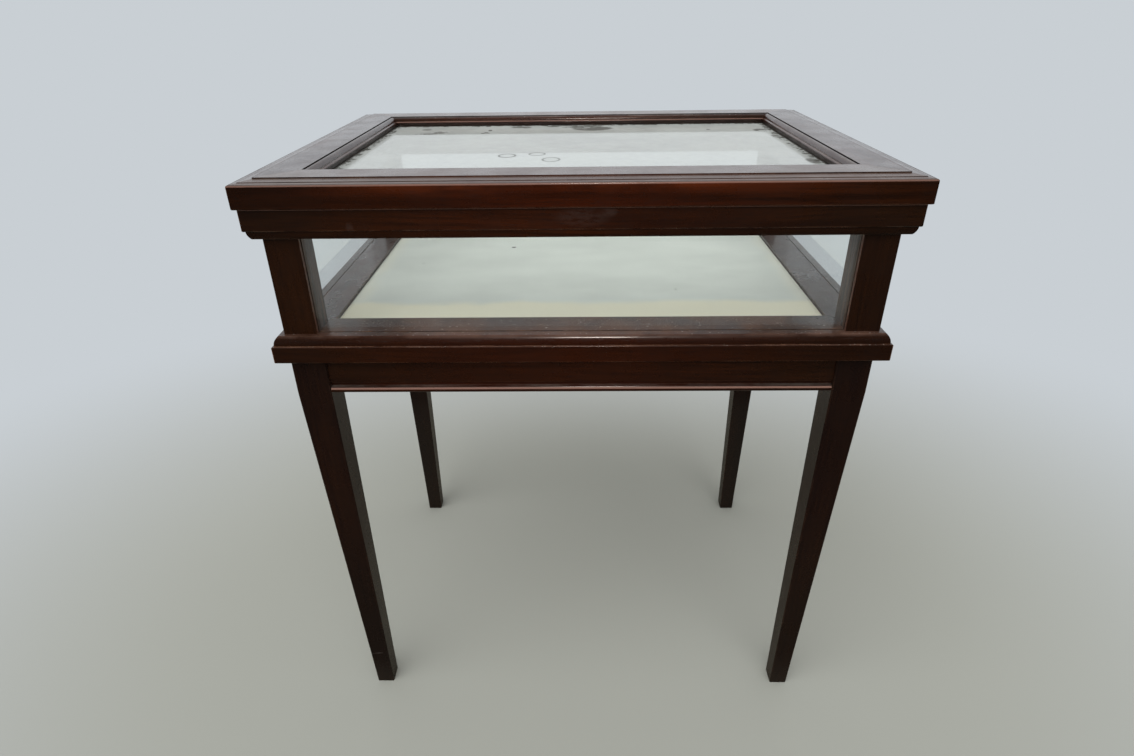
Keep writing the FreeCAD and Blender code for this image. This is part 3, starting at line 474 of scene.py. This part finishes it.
def bare_timber(name, grain, body, deep, shift=(0.0, 0.0, 0.0)):
    """Unfinished timber of the hidden pieces: the same grain group, pale, dry and a little dusty."""
    material, w, shader, place = new_material(name)
    glow = tuple(min(1.0, c * 1.15) for c in body)
    wood = w.group(timber_grain, Vector=along(w, place, grain, shift), Deep=deep, Body=body, Glow=glow,
                   Figure=0.5)
    dust = w.group(settled_dust, Vector=place)["Film"]
    w.fill(shader.inputs, {"Base Color": w.mix(w.times(dust, 0.2), wood["Color"], (0.4, 0.37, 0.33)),
                           "Roughness": w.maths("MULTIPLY_ADD", wood["Pores"], 0.2, 0.58),
                           "Normal": w.bump(0.5, 0.0003, wood["Height"])})
    return material


def metal(name, bright, dull, gloss, steps):
    """Aged metal: a bright and a dull colour mixed by a cloudy noise, rougher where it is dull, with fine
    scratches along X as a stretched noise."""
    material, w, shader, place = new_material(name)
    clouds = w.between(w.noise(place, steps, 5.0, 0.65), 0.38, 0.66)
    rubbed = w.group(edge_wear, Vector=place, Reach=0.0008)["Mask"]
    dulled = w.times(clouds, w.maths("MULTIPLY_ADD", rubbed, -0.8, 1.0))
    scratches = w.noise(place, (150.0, 3000.0, 3000.0))
    w.fill(shader.inputs, {"Metallic": 1.0, "Base Color": w.mix(dulled, bright, dull),
                           "Roughness": w.maths("MULTIPLY_ADD", dulled, 0.28, gloss),
                           "Normal": w.bump(0.25, 0.0001, scratches)})
    return material


def pane_glass(name, look, film, half=None, smears=(), rings=()):
    """Old window glass under a film of dust. The film hides one minus (one minus its share) to the power of
    one over the cosine of the view, so it grows towards a grazing view. half is half the clear opening of a
    flat pane: its film lies on the upper face, dark grime gathers along the opening, and its smears and
    rings, which are Marks, are dark dirt in the film. Lamps and soft light pass straight through."""
    material, w, shader, place = new_material(name)
    clouds = w.between(w.noise(place, 7.0, 5.0, 0.7), 0.3, 0.75, 0.75, 1.25)
    share = w.times(clouds, film)
    settled = look.dust
    if half:
        wiped = 0.0
        for marks, output in ((smears, "Mask"), (rings, "Ring")):
            for centre, reach, steps, strength in marks:
                mark = w.group(local_mark, Vector=place, Centre=centre, Reach=reach, Steps=steps)[output]
                wiped = w.maths("MULTIPLY_ADD", mark, strength, wiped)
        wiped = w.maths("MINIMUM", wiped, 1.0)
        split = w.split(place)
        gap = w.maths("MINIMUM", *(w.maths("SUBTRACT", half[axis], w.maths("ABSOLUTE", split[axis]))
                                   for axis in (X, Y)))
        broken = w.between(w.noise(place, 75.0, 5.0, 0.75), 0.44, 0.58)
        line = w.times(w.between(gap, 0.0032, 0.0006), 0.75)
        grime = w.maths("MAXIMUM", w.times(w.between(gap, 0.016, 0.0), broken), line)
        share = w.maths("MULTIPLY_ADD", wiped, 0.2, share)
        share = w.maths("MULTIPLY_ADD", grime, 0.3, share)
        share = w.times(share, w.between(w.split(w.coords("Normal"))[Z], 0.5, 0.9))
        dark = w.maths("MAXIMUM", w.between(grime, 0.0, 0.5, 0.0, 0.9), w.between(wiped, 0.0, 0.6, 0.0, 0.8))
        settled = w.mix(dark, look.dust, look.grime)
    slant = w.maths("SUBTRACT", 1.0, w.add("LayerWeight", {"Blend": 0.5}).outputs["Facing"])
    hidden = w.maths("POWER", w.maths("SUBTRACT", 1.0, w.maths("MINIMUM", share, 0.9)),
                     w.maths("DIVIDE", 1.0, w.maths("MAXIMUM", slant, 0.08)))
    dust = w.add("BsdfPrincipled", {"Base Color": settled, "Roughness": 0.9, "Specular IOR Level": 0.1})
    w.fill(shader.inputs, {"Base Color": look.tint, "Roughness": 0.01, "Transmission Weight": 1.0,
                           "IOR": look.index})
    dusty = w.add("MixShader", {0: hidden, 1: dust.outputs[0], 2: shader.outputs[0]}).outputs[0]
    clear = w.add("BsdfTransparent", {0: look.let_through}).outputs[0]
    path = w.add("LightPath").outputs
    straight = w.maths("MAXIMUM", path["Is Shadow Ray"], path["Is Diffuse Ray"])
    w.finish(w.add("MixShader", {0: straight, 1: dusty, 2: clear}).outputs[0])
    return material


def cloth(name, look, low, high):
    """Matt woven cloth, warmer along its front and faintly at its sides, with slow shade, specks and the
    weave as bump."""
    material, w, shader, place = new_material(name)
    split = w.split(place)
    wander = w.times(w.maths("SUBTRACT", w.noise(place, 16.0, 3.0), 0.5), 0.03)
    front = w.maths("ADD", w.maths("SUBTRACT", split[Y], low[Y]), wander)
    sides = w.maths("MINIMUM", w.maths("SUBTRACT", split[X], low[X]), w.maths("SUBTRACT", high[X], split[X]))
    sides = w.between(w.maths("ADD", sides, wander), look.margin_width * 0.6, 0.0, 0.0, 0.4)
    # Partly the cloth's unfaded colour and partly painted light along the shaded front.
    margin = w.maths("MAXIMUM", w.between(front, look.margin_width * 1.5, look.margin_width * 0.95), sides)
    shade = w.between(w.noise(place, (5.0, 9.0, 5.0), 4.0, 0.6), 0.3, 0.7)
    pale = tuple(min(1.0, c * 1.05) for c in look.cloth)
    dark = tuple(c * 0.91 for c in look.cloth)
    colour = w.mix(margin, w.mix(shade, dark, pale), look.margin)
    weave = w.group(cloth_weave, Vector=place, Pitch=look.thread)
    colour = w.mix(w.times(w.between(weave["Thread"], 0.2, 0.8), 0.1), colour, (0.3, 0.31, 0.28))
    stains = 0.0
    for x, y, long, wide, strength in ((-0.098, 0.0835, 0.0042, 0.0032, 0.95),
                                       (-0.22, 0.013, 0.0024, 0.0017, 0.6),
                                       (0.122, -0.094, 0.0018, 0.0022, 0.5)):
        away = w.vector("SUBTRACT", place, (x, y, LINING_TOP))
        away = w.vector("LENGTH", w.vector("DIVIDE", away, (long, wide, MARK_DEPTH)))
        stains = w.maths("MULTIPLY_ADD", w.between(away, 1.0, 0.6), strength, stains)
    w.fill(shader.inputs, {"Base Color": w.mix(w.maths("MINIMUM", stains, 1.0), colour, look.speck),
                           "Roughness": w.maths("MULTIPLY_ADD", weave["Thread"], 0.08, 0.86),
                           "Specular IOR Level": 0.25, "Sheen Weight": 0.12, "Sheen Roughness": 0.5,
                           "Normal": w.bump(0.4, 0.0002, weave["Height"])})
    return material


def dress(material, *names):
    """Gives CAD nodes a material in place of their plain one."""
    for name in names:
        for slot in NODES[name].material_slots:
            slot.material = material


def mesh_from(name, points, faces, material, smooth=True):
    """An object at the origin from arrays of points and faces."""
    mesh = bpy.data.meshes.new(name)
    mesh.from_pydata(points.reshape(-1, 3).tolist(), [], faces.tolist())
    mesh.polygons.foreach_set("use_smooth", np.full(len(mesh.polygons), smooth))
    mesh.materials.append(material)
    mesh.validate()
    made = bpy.data.objects.new(name, mesh)
    bpy.context.scene.collection.objects.link(made)
    return made


def edge_steps(length, roll, middle):
    """Distances from 0 to length: seven even turns of a quarter circle at each end, even steps between."""
    angle = np.linspace(0.0, math.pi / 2, 7)
    start = roll * (1.0 - np.cos(angle))
    inner = np.linspace(roll, length - roll, middle)[1:-1]
    return np.concatenate([start, inner, (length - start)[::-1]])


def pad_surface(low, high, look):
    """Closed pad between two corners. Its top and bottom share their outline at half height. Each rises to
    its full height by the product, along X and Y, of the root of one minus the square of the way left to the
    roll's inner edge. The top sinks in soft grooves at the creases and by a slow product of sines."""
    length, width, height = np.array(high) - np.array(low)
    across, up = np.meshgrid(edge_steps(length, look.roll, look.columns),
                             edge_steps(width, look.roll, look.rows), indexing="ij")

    def lift(way, size):
        left = 1.0 - np.minimum(np.minimum(way, size - way), look.roll) / look.roll
        return np.sqrt(np.clip(1.0 - left ** 2, 0.0, 1.0))

    rise = lift(across, length) * lift(up, width)
    px, py = across + low[X], up + low[Y]
    groove = sum(depth * np.exp(-(((py - at - bend * np.sin(5.0 * px)) / reach) ** 2))
                 for at, depth, reach, bend in ((-0.05, 1.0, 0.006, 0.004), (0.052, 0.5, 0.009, 0.003)))
    groove += 0.8 * np.exp(-(((px - 0.094 - 0.004 * np.sin(7.0 * py)) / 0.007) ** 2))
    groove += 0.35 * (1.0 - np.sin(31.0 * px + 1.3) * np.sin(23.0 * py + 0.4))
    half = height / 2
    top = low[Z] + half + half * rise - look.sink * groove * rise
    bottom = low[Z] + half - half * rise
    rows, columns = rise.shape
    above = np.stack([px, py, top], -1)
    inside = np.zeros(rise.shape, bool)
    inside[1:-1, 1:-1] = True
    below = np.stack([px, py, bottom], -1)[inside]
    number = np.arange(rows * columns).reshape(rows, columns)
    under = number.copy()
    under[inside] = rows * columns + np.arange(len(below))

    def quads(index):
        return np.stack([index[:-1, :-1], index[1:, :-1], index[1:, 1:], index[:-1, 1:]], -1).reshape(-1, 4)

    points = np.concatenate([above.reshape(-1, 3), below])
    return points, np.concatenate([quads(number), quads(under)[:, ::-1]])


class DISPLAYTABLE_OT_stage(bpy.types.Operator):
    """Set up the camera, the pale floor and the soft light"""
    bl_idname = "display_table.stage"
    bl_label = "Camera, floor and light"

    def execute(self, context):
        scene = context.scene
        look = scene.display_table_stage
        scene.view_settings.view_transform = "Standard"
        self.place_camera(scene, look)
        self.hang_lamps(scene, look)
        self.light_world(scene, look)
        self.lay_floor(look)
        return {"FINISHED"}

    def place_camera(self, scene, look):
        """The camera, turned, tilted and then leaned."""
        level = math.cos(look.tilt)
        ahead = np.array([math.sin(look.turn) * level, math.cos(look.turn) * level, math.sin(look.tilt)])
        side = np.array([math.cos(look.turn), -math.sin(look.turn), 0.0])
        up = np.cross(side, ahead)
        right = math.cos(look.lean) * side + math.sin(look.lean) * up
        above = -math.sin(look.lean) * side + math.cos(look.lean) * up
        rows = np.stack([right, above, -ahead], 1).tolist()
        camera = bpy.data.objects.new("camera", bpy.data.cameras.new("camera"))
        camera.data.sensor_width = 36.0
        camera.data.lens = look.lens
        camera.data.clip_start = 0.01
        camera.data.clip_end = 200.0
        scene.collection.objects.link(camera)
        camera.matrix_world = Matrix([(*row, place) for row, place in zip(rows, look.camera_place)]
                                     + [(0.0, 0.0, 0.0, 1.0)])
        scene.camera = camera

    def hang_lamps(self, scene, look):
        """A broad lamp overhead that nothing mirrors, and a small lamp high in front, lifted from facing down
        towards the table, that is seen only as a glint on edges."""
        broad = bpy.data.objects.new("broad_lamp", bpy.data.lights.new("broad_lamp", "SUN"))
        broad.data.energy = look.lamp
        broad.data.angle = look.lamp_spread
        broad.rotation_euler = (math.radians(38), math.radians(-18), 0.0)
        broad.visible_glossy = False
        small = bpy.data.objects.new("glint_lamp", bpy.data.lights.new("glint_lamp", "AREA"))
        small.data.shape = "RECTANGLE"
        small.data.energy = look.glint
        small.data.size = 0.3
        small.data.size_y = 0.22
        small.data.color = (1.0, 0.9, 0.82)
        small.location = (0.08, -1.97, 2.5)
        small.rotation_euler = (math.radians(42), 0.0, 0.0)
        small.visible_camera = small.visible_diffuse = small.visible_transmission = False
        for lamp in (broad, small):
            scene.collection.objects.link(lamp)

    def light_world(self, scene, look):
        """Even light, with the pale distance where it is seen, and for mirror rays a sky that brightens from
        front to back and towards the top."""
        world = bpy.data.worlds.new("studio")
        world.use_nodes = True
        world.node_tree.nodes.clear()
        w = Wiring(world.node_tree)
        way = w.split(w.coords("Generated"))
        path = w.add("LightPath").outputs
        level = w.between(way[Y], -0.35, 0.45, look.dim, look.bright)
        level = w.times(level, w.between(way[Z], 0.3, 0.6, 1.0, 0.4))
        level = w.blend(w.between(way[Z], 0.86, 0.98), level, look.bright)
        level = w.times(level, w.between(way[Z], -0.05, 0.0))
        sky = w.vector("MULTIPLY", w.combine(level, level, level), (0.96, 1.0, 1.05))
        warm = w.times(w.between(way[Z], 0.6, 0.8), w.between(way[Y], 0.1, -0.1))
        sky = w.mix(warm, sky, w.vector("MULTIPLY", sky, (1.1, 0.78, 0.66)))
        seen = w.maths("MAXIMUM", path["Is Camera Ray"], path["Is Transmission Ray"])
        colour = w.mix(seen, (look.fill,) * 3, look.far)
        colour = w.mix(path["Is Glossy Ray"], colour, sky)
        w.fill(w.add("OutputWorld").inputs, {0: w.add("Background", {0: colour, 1: 1.0}).outputs[0]})
        scene.world = world

    def lay_floor(self, look):
        """A broad plane. Its colour takes shadows near the table and turns to the even pale of the distance
        as the distance from the table grows."""
        material, w, shader, place = new_material("pale_floor")
        path = w.add("LightPath").outputs
        seen = w.maths("MAXIMUM", path["Is Camera Ray"], path["Is Transmission Ray"])
        away = w.vector("MULTIPLY", w.vector("SUBTRACT", place, (0.0, -0.1, 0.0)), (0.8, 1.0, 1.0))
        far = w.times(w.between(w.vector("LENGTH", away), 0.42, 1.5), seen)
        back = w.split(place)[Y]
        mirrored = w.between(back, -0.27, -0.2, look.mirrored_front, look.mirrored_floor)
        mirrored = w.vector("MULTIPLY", w.combine(mirrored, mirrored, mirrored), (1.0, 0.93, 0.72))
        mirrored = w.mix(w.between(back, 0.5, 1.8), mirrored, (0.34, 0.31, 0.33))
        w.fill(shader.inputs, {"Base Color": w.mix(path["Is Glossy Ray"], look.floor, mirrored),
                               "Roughness": 0.8, "Specular IOR Level": 0.2})
        pale = w.add("Emission", {0: look.far, 1: 1.0}).outputs[0]
        w.finish(w.add("MixShader", {0: far, 1: shader.outputs[0], 2: pale}).outputs[0])
        points = 60.0 * np.array([(-1.0, -1.0, 0.0), (1.0, -1.0, 0.0), (1.0, 1.0, 0.0), (-1.0, 1.0, 0.0)])
        mesh_from("studio_floor", points, np.array([[0, 1, 2, 3]]), material, smooth=False)


class DISPLAYTABLE_OT_legs(bpy.types.Operator):
    """Polish the four tapered legs"""
    bl_idname = "display_table.legs"
    bl_label = "Legs"

    def execute(self, context):
        look = context.scene.display_table_timber
        scratches = [Mark((x, LEG_FRONT, z), (0.008, MARK_DEPTH, 0.0010), (9.0, 9.0, 9.0), strength)
                     for x, z, strength in ((-0.3060, 0.0626, 0.6), (-0.2995, 0.0640, 0.7))]
        # The timber darkens towards the bottom of the legs.
        wood = mahogany("mahogany_legs", "Z", look, (0.0, 0.3, 0.1), (0.43, 0.85, 2.2), figure=0.2, wear=0.3,
                        scuffs=scratches, layers=(Layer("smoke", 0.6, 0.0, Z, 0.4, 0.1),))
        dress(wood, *(f"leg_{corner}" for corner in CORNERS))
        return {"FINISHED"}


class DISPLAYTABLE_OT_aprons(bpy.types.Operator):
    """Polish the four aprons and the beads under them"""
    bl_idname = "display_table.aprons"
    bl_label = "Aprons and beads"

    def execute(self, context):
        look = context.scene.display_table_timber
        for grain, sides in RUNS:
            wood = mahogany(f"mahogany_apron_{grain.lower()}", grain, look, (0.7, 0.0, 0.9), (0.9, 1.15, 1.6),
                            figure=0.6, wear=0.3)
            dress(wood, *(f"apron_{side}" for side in sides))
            wood = mahogany(f"mahogany_bead_{grain.lower()}", grain, look, (0.2, 0.4, 0.1), (1.0, 1.0, 1.2),
                            figure=0.6, wear=0.2, roughness=0.34,
                            # Painted highlight along the bead's crest.
                            lines=(Line("crest", 0.6, Z, 0.5202, 0.5220),))
            dress(wood, *(f"apron_bead_{side}" for side in sides))
        return {"FINISHED"}


class DISPLAYTABLE_OT_base_frame(bpy.types.Operator):
    """Polish the base frame, dusty at the foot of its panes"""
    bl_idname = "display_table.base_frame"
    bl_label = "Base frame"

    def execute(self, context):
        look = context.scene.display_table_timber
        # Painted reflection of the sky on the ledge tops, stronger on the front and back members.
        for (grain, sides), haze in zip(RUNS, (0.6, 0.1)):
            wood = mahogany(f"mahogany_base_{grain.lower()}", grain, look, (0.1, 0.6, 0.3), (0.86, 0.95, 1.2),
                            figure=0.6, wear=0.75, film=0.05, specks=0.7,
                            layers=(Layer("haze", haze, 1.0, Z, 0.5, 0.51, (Z, ANYWHERE), 14.0),))
            dress(wood, *(f"base_frame_{side}" for side in sides))
        return {"FINISHED"}


class DISPLAYTABLE_OT_case(bpy.types.Operator):
    """Polish the posts and the rails of the case"""
    bl_idname = "display_table.case"
    bl_label = "Posts and case rails"

    def execute(self, context):
        look = context.scene.display_table_timber
        layers = []
        # For each pair of panes: its axis, the axis it runs along, its outer face and the posts' inner faces.
        for axis, across, pane, inner in ((Y, X, 0.2278, 0.2885), (X, Y, 0.3208, 0.1955)):
            faces = (across, inner)
            # Painted shade in the posts' glass grooves.
            layers += [Layer("grime", 0.8, 1.0, axis, pane + 0.0009, pane + 0.0004, faces),
                       # Painted reflection on the posts' faces behind the glass.
                       Layer("haze", 0.5, 1.0, axis, pane - 0.0018, pane - 0.0028, faces,
                             (260.0, 260.0, 9.0)),
                       # Painted highlight along the posts' arris at the glass.
                       Layer("arris", 0.75, 1.0, axis, pane + 0.0002, pane + 0.0006, faces)]
        wood = mahogany("mahogany_posts", "Z", look, (0.4, 0.0, 0.2), (0.5, 0.87, 1.5), figure=0.35, wear=0.3,
                        layers=layers)
        dress(wood, *(f"post_{corner}" for corner in CORNERS))
        scuffs = (Mark((0.003, RAIL_FRONT, 0.722), (0.034, 0.02, 0.012), (90.0, 60.0, 330.0), 0.08),
                  Mark((0.03, RAIL_FRONT, 0.727), (0.01, 0.02, 0.006), (150.0, 60.0, 300.0), 0.1),
                  Mark((-0.229, RAIL_FRONT, 0.7135), (0.005, 0.02, 0.007), (150.0, 60.0, 150.0), 0.07))
        for grain, sides in RUNS:
            wood = mahogany(f"mahogany_rail_{grain.lower()}", grain, look, (0.0, 0.2, 0.7), (0.88, 1.1, 1.5),
                            figure=0.45, wear=0.8, scuffs=scuffs if grain == "X" else (),
                            # Painted highlight along the rail's top arris.
                            lines=(Line("crest", 0.35, Z, 0.7312, 0.7322),))
            dress(wood, *(f"case_rail_{side}" for side in sides))
        return {"FINISHED"}


class DISPLAYTABLE_OT_lid(bpy.types.Operator):
    """Polish the lid frame and its glazing mouldings"""
    bl_idname = "display_table.lid"
    bl_label = "Lid"

    def execute(self, context):
        look = context.scene.display_table_timber
        # For each run: the axis across it, its moulding's outer line, its outer edge and the share of its
        # painted crest highlight.
        for (grain, sides), (axis, line, edge, crest) in zip(RUNS, ((Y, 0.1923, 0.249, 0.35),
                                                                   (X, 0.2853, 0.342, 0.1))):
            # Painted warm glow along the top of the lid's faces.
            layers = [Layer("warm_edge", 0.7, 0.0, Z, 0.742, 0.7545, (axis, ANYWHERE), (9.0, 9.0, 40.0))]
            if grain == "X":
                # Pale pinkish colour on the tops of the front and back members.
                layers.append(Layer("bloom", 0.14, 0.3, Y, 0.18, 0.2, (Z, ANYWHERE)))
            # Painted shade: dark bands in the quirk under the moulding and in the sunk lines near the outer
            # edge.
            lines = (Line("grime", 0.95, axis, 0.0, line + 0.0012),
                     Line("grime", 0.6, axis, edge - 0.0084, edge - 0.0076),
                     Line("grime", 0.6, axis, edge - 0.0027, edge - 0.0019),
                     # Painted highlight along the lid's front arris.
                     Line("crest", 0.4, Z, 0.7549, 0.7559),
                     Line("grime", 0.5, axis, edge - 0.0195, edge - 0.0189))
            wood = mahogany(f"mahogany_lid_{grain.lower()}", grain, look, (0.5, 0.1, 0.0), (0.85, 0.82, 0.82),
                            figure=0.7, wear=0.6, film=0.12, layers=layers, lines=lines)
            dress(wood, *(f"lid_frame_{side}" for side in sides))
            # Painted shade: darker down the moulding's fall to the glass, with dark lines at the glass and in
            # the quirk.
            layers = (Layer("grime", 0.6, 1.0, Z, 0.7528, 0.7508),
                      Layer("grime", 0.8, 1.0, Z, 0.7486, 0.7478))
            # Painted highlight along the moulding's bead.
            lines = (Line("crest", crest, Z, 0.7524, 0.7532),
                     Line("grime", 0.95, axis, line - 0.0002, ANYWHERE))
            wood = mahogany(f"mahogany_moulding_{grain.lower()}", grain, look, (0.9, 0.3, 0.5),
                            (0.95, 1.1, 1.4), figure=0.5, wear=0.5, film=0.2, specks=0.5, layers=layers,
                            lines=lines)
            dress(wood, *(f"lid_moulding_{side}" for side in sides))
        return {"FINISHED"}


class DISPLAYTABLE_OT_glass(bpy.types.Operator):
    """Glaze the lid and the four sides"""
    bl_idname = "display_table.glass"
    bl_label = "Glass"

    def execute(self, context):
        look = context.scene.display_table_glass
        smears = self.on_lid((-0.220, 0.112, 0.023, 0.007, 45.0, 20.0, 0.6),
                             (-0.224, 0.152, 0.014, 0.016, 90.0, 45.0, 0.4),
                             (-0.200, 0.124, 0.016, 0.018, 90.0, 45.0, 0.45),
                             (-0.134, 0.116, 0.011, 0.013, 90.0, 60.0, 0.6),
                             (-0.1295, 0.139, 0.0038, 0.009, 9.0, 9.0, 1.0),
                             (-0.086, 0.163, 0.022, 0.013, 40.0, 60.0, 0.7),
                             (-0.010, 0.172, 0.052, 0.018, 45.0, 45.0, 0.9),
                             (0.020, 0.150, 0.040, 0.030, 35.0, 35.0, 0.9),
                             (0.0133, -0.0245, 0.014, 0.009, 60.0, 60.0, 0.2),
                             (0.187, 0.128, 0.005, 0.007, 30.0, 30.0, 0.7),
                             (0.259, 0.116, 0.015, 0.022, 70.0, 70.0, 0.55),
                             (0.268, 0.062, 0.010, 0.022, 80.0, 80.0, 0.5),
                             (0.267, -0.106, 0.011, 0.024, 80.0, 80.0, 0.55))
        rings = self.on_lid((-0.0871, -0.0566, 0.0125, 0.0135, 30.0, 30.0, 0.5),
                            (-0.0510, -0.0480, 0.0120, 0.0115, 30.0, 30.0, 0.45),
                            (-0.0328, -0.0829, 0.0125, 0.0150, 30.0, 30.0, 0.42))
        dress(pane_glass("lid_pane", look, look.lid_film, LID_OPENING_HALF, smears, rings), "lid_glass")
        dress(pane_glass("side_pane", look, look.side_film), *(f"side_glass_{side}" for side in SIDES))
        return {"FINISHED"}

    def on_lid(self, *rows):
        """Marks on top of the lid glass, each from its x and y, half lengths, steps and strength."""
        return [Mark((x, y, LID_GLASS_TOP), (long, wide, MARK_DEPTH), (fine, cross, 5.0), strength)
                for x, y, long, wide, fine, cross, strength in rows]


class DISPLAYTABLE_OT_lining(bpy.types.Operator):
    """Cover the floor of the case with a thin cloth pad"""
    bl_idname = "display_table.lining"
    bl_label = "Lining"

    def execute(self, context):
        look = context.scene.display_table_lining
        low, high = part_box("display_lining")
        points, faces = pad_surface(low, high, look)
        pad = mesh_from("lining_pad", points, faces, cloth("lining_cloth", look, low, high))
        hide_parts("display_lining")
        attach(pad, "case")
        return {"FINISHED"}


class DISPLAYTABLE_OT_fittings(bpy.types.Operator):
    """Age the brass hinges and their screws, and the steel screws"""
    bl_idname = "display_table.fittings"
    bl_label = "Hinges and screws"

    def execute(self, context):
        look = context.scene.display_table_fittings
        brass = metal("aged_brass", look.brass, look.tarnish, 0.3, 90.0)
        for part in ("leaf_case", "leaf_lid", "pin"):
            dress(brass, *(f"hinge_{part}_{side}" for side in SIDES[2:]))
        screws = metal("brass_screws", look.brass, look.tarnish, 0.26, 300.0)
        dress(screws, "hinge_screws_case", "hinge_screws_lid")
        dress(metal("zinc_steel", look.steel, look.rust, 0.32, 260.0), "frame_screws")
        return {"FINISHED"}


class DISPLAYTABLE_OT_hidden_timber(bpy.types.Operator):
    """Finish the corner blocks, tongues, dowels and the bottom panel"""
    bl_idname = "display_table.hidden_timber"
    bl_label = "Hidden timber"

    def execute(self, context):
        look = context.scene.display_table_fittings
        beech = bare_timber("bare_beech", "Z", look.beech, look.beech_deep)
        dress(beech, *(f"corner_block_{corner}" for corner in CORNERS), "post_dowels")
        tongues = bare_timber("beech_tongues", "X", look.beech, look.beech_deep, (0.4, 0.2, 0.6))
        dress(tongues, "base_frame_splines", "case_rail_splines", "lid_frame_splines")
        dress(bare_timber("birch_ply", "X", look.ply, look.ply_deep, (1.4, 0.5, 0.1)), "base_panel")
        return {"FINISHED"}


class DISPLAYTABLE_PT_panel(bpy.types.Panel):
    """Lists the table's settings and its steps"""
    bl_idname = "DISPLAYTABLE_PT_panel"
    bl_label = "Display Table"
    bl_space_type = "VIEW_3D"
    bl_region_type = "UI"
    bl_category = "Display Table"

    def draw(self, context):
        for key, (kind, title) in SETTINGS.items():
            box = self.layout.box()
            box.label(text=title)
            for name in kind.__annotations__:
                box.prop(getattr(context.scene, f"display_table_{key}"), name)
        for step in STEPS:
            self.layout.operator(step.bl_idname)


SETTINGS = {
    "stage": (StageSettings, "Stage"),
    "timber": (TimberSettings, "Mahogany"),
    "glass": (GlassSettings, "Glass"),
    "lining": (LiningSettings, "Lining"),
    "fittings": (FittingSettings, "Fittings"),
}
STEPS = (
    DISPLAYTABLE_OT_stage,
    DISPLAYTABLE_OT_legs,
    DISPLAYTABLE_OT_aprons,
    DISPLAYTABLE_OT_base_frame,
    DISPLAYTABLE_OT_case,
    DISPLAYTABLE_OT_lid,
    DISPLAYTABLE_OT_glass,
    DISPLAYTABLE_OT_lining,
    DISPLAYTABLE_OT_fittings,
    DISPLAYTABLE_OT_hidden_timber,
)


def register():
    for kind, _ in SETTINGS.values():
        bpy.utils.register_class(kind)
    for name, (kind, _) in SETTINGS.items():
        setattr(bpy.types.Scene, f"display_table_{name}", PointerProperty(type=kind))
    for kind in (*STEPS, DISPLAYTABLE_PT_panel):
        bpy.utils.register_class(kind)


def unregister():
    for kind in reversed((*STEPS, DISPLAYTABLE_PT_panel)):
        bpy.utils.unregister_class(kind)
    for name in SETTINGS:
        delattr(bpy.types.Scene, f"display_table_{name}")
    for kind, _ in reversed(SETTINGS.values()):
        bpy.utils.unregister_class(kind)


def main():
    """Runs every step in order."""
    register()
    for step in STEPS:
        area, name = step.bl_idname.split(".")
        getattr(getattr(bpy.ops, area), name)()
    bpy.context.view_layer.update()


if __name__ == "__main__":
    main()
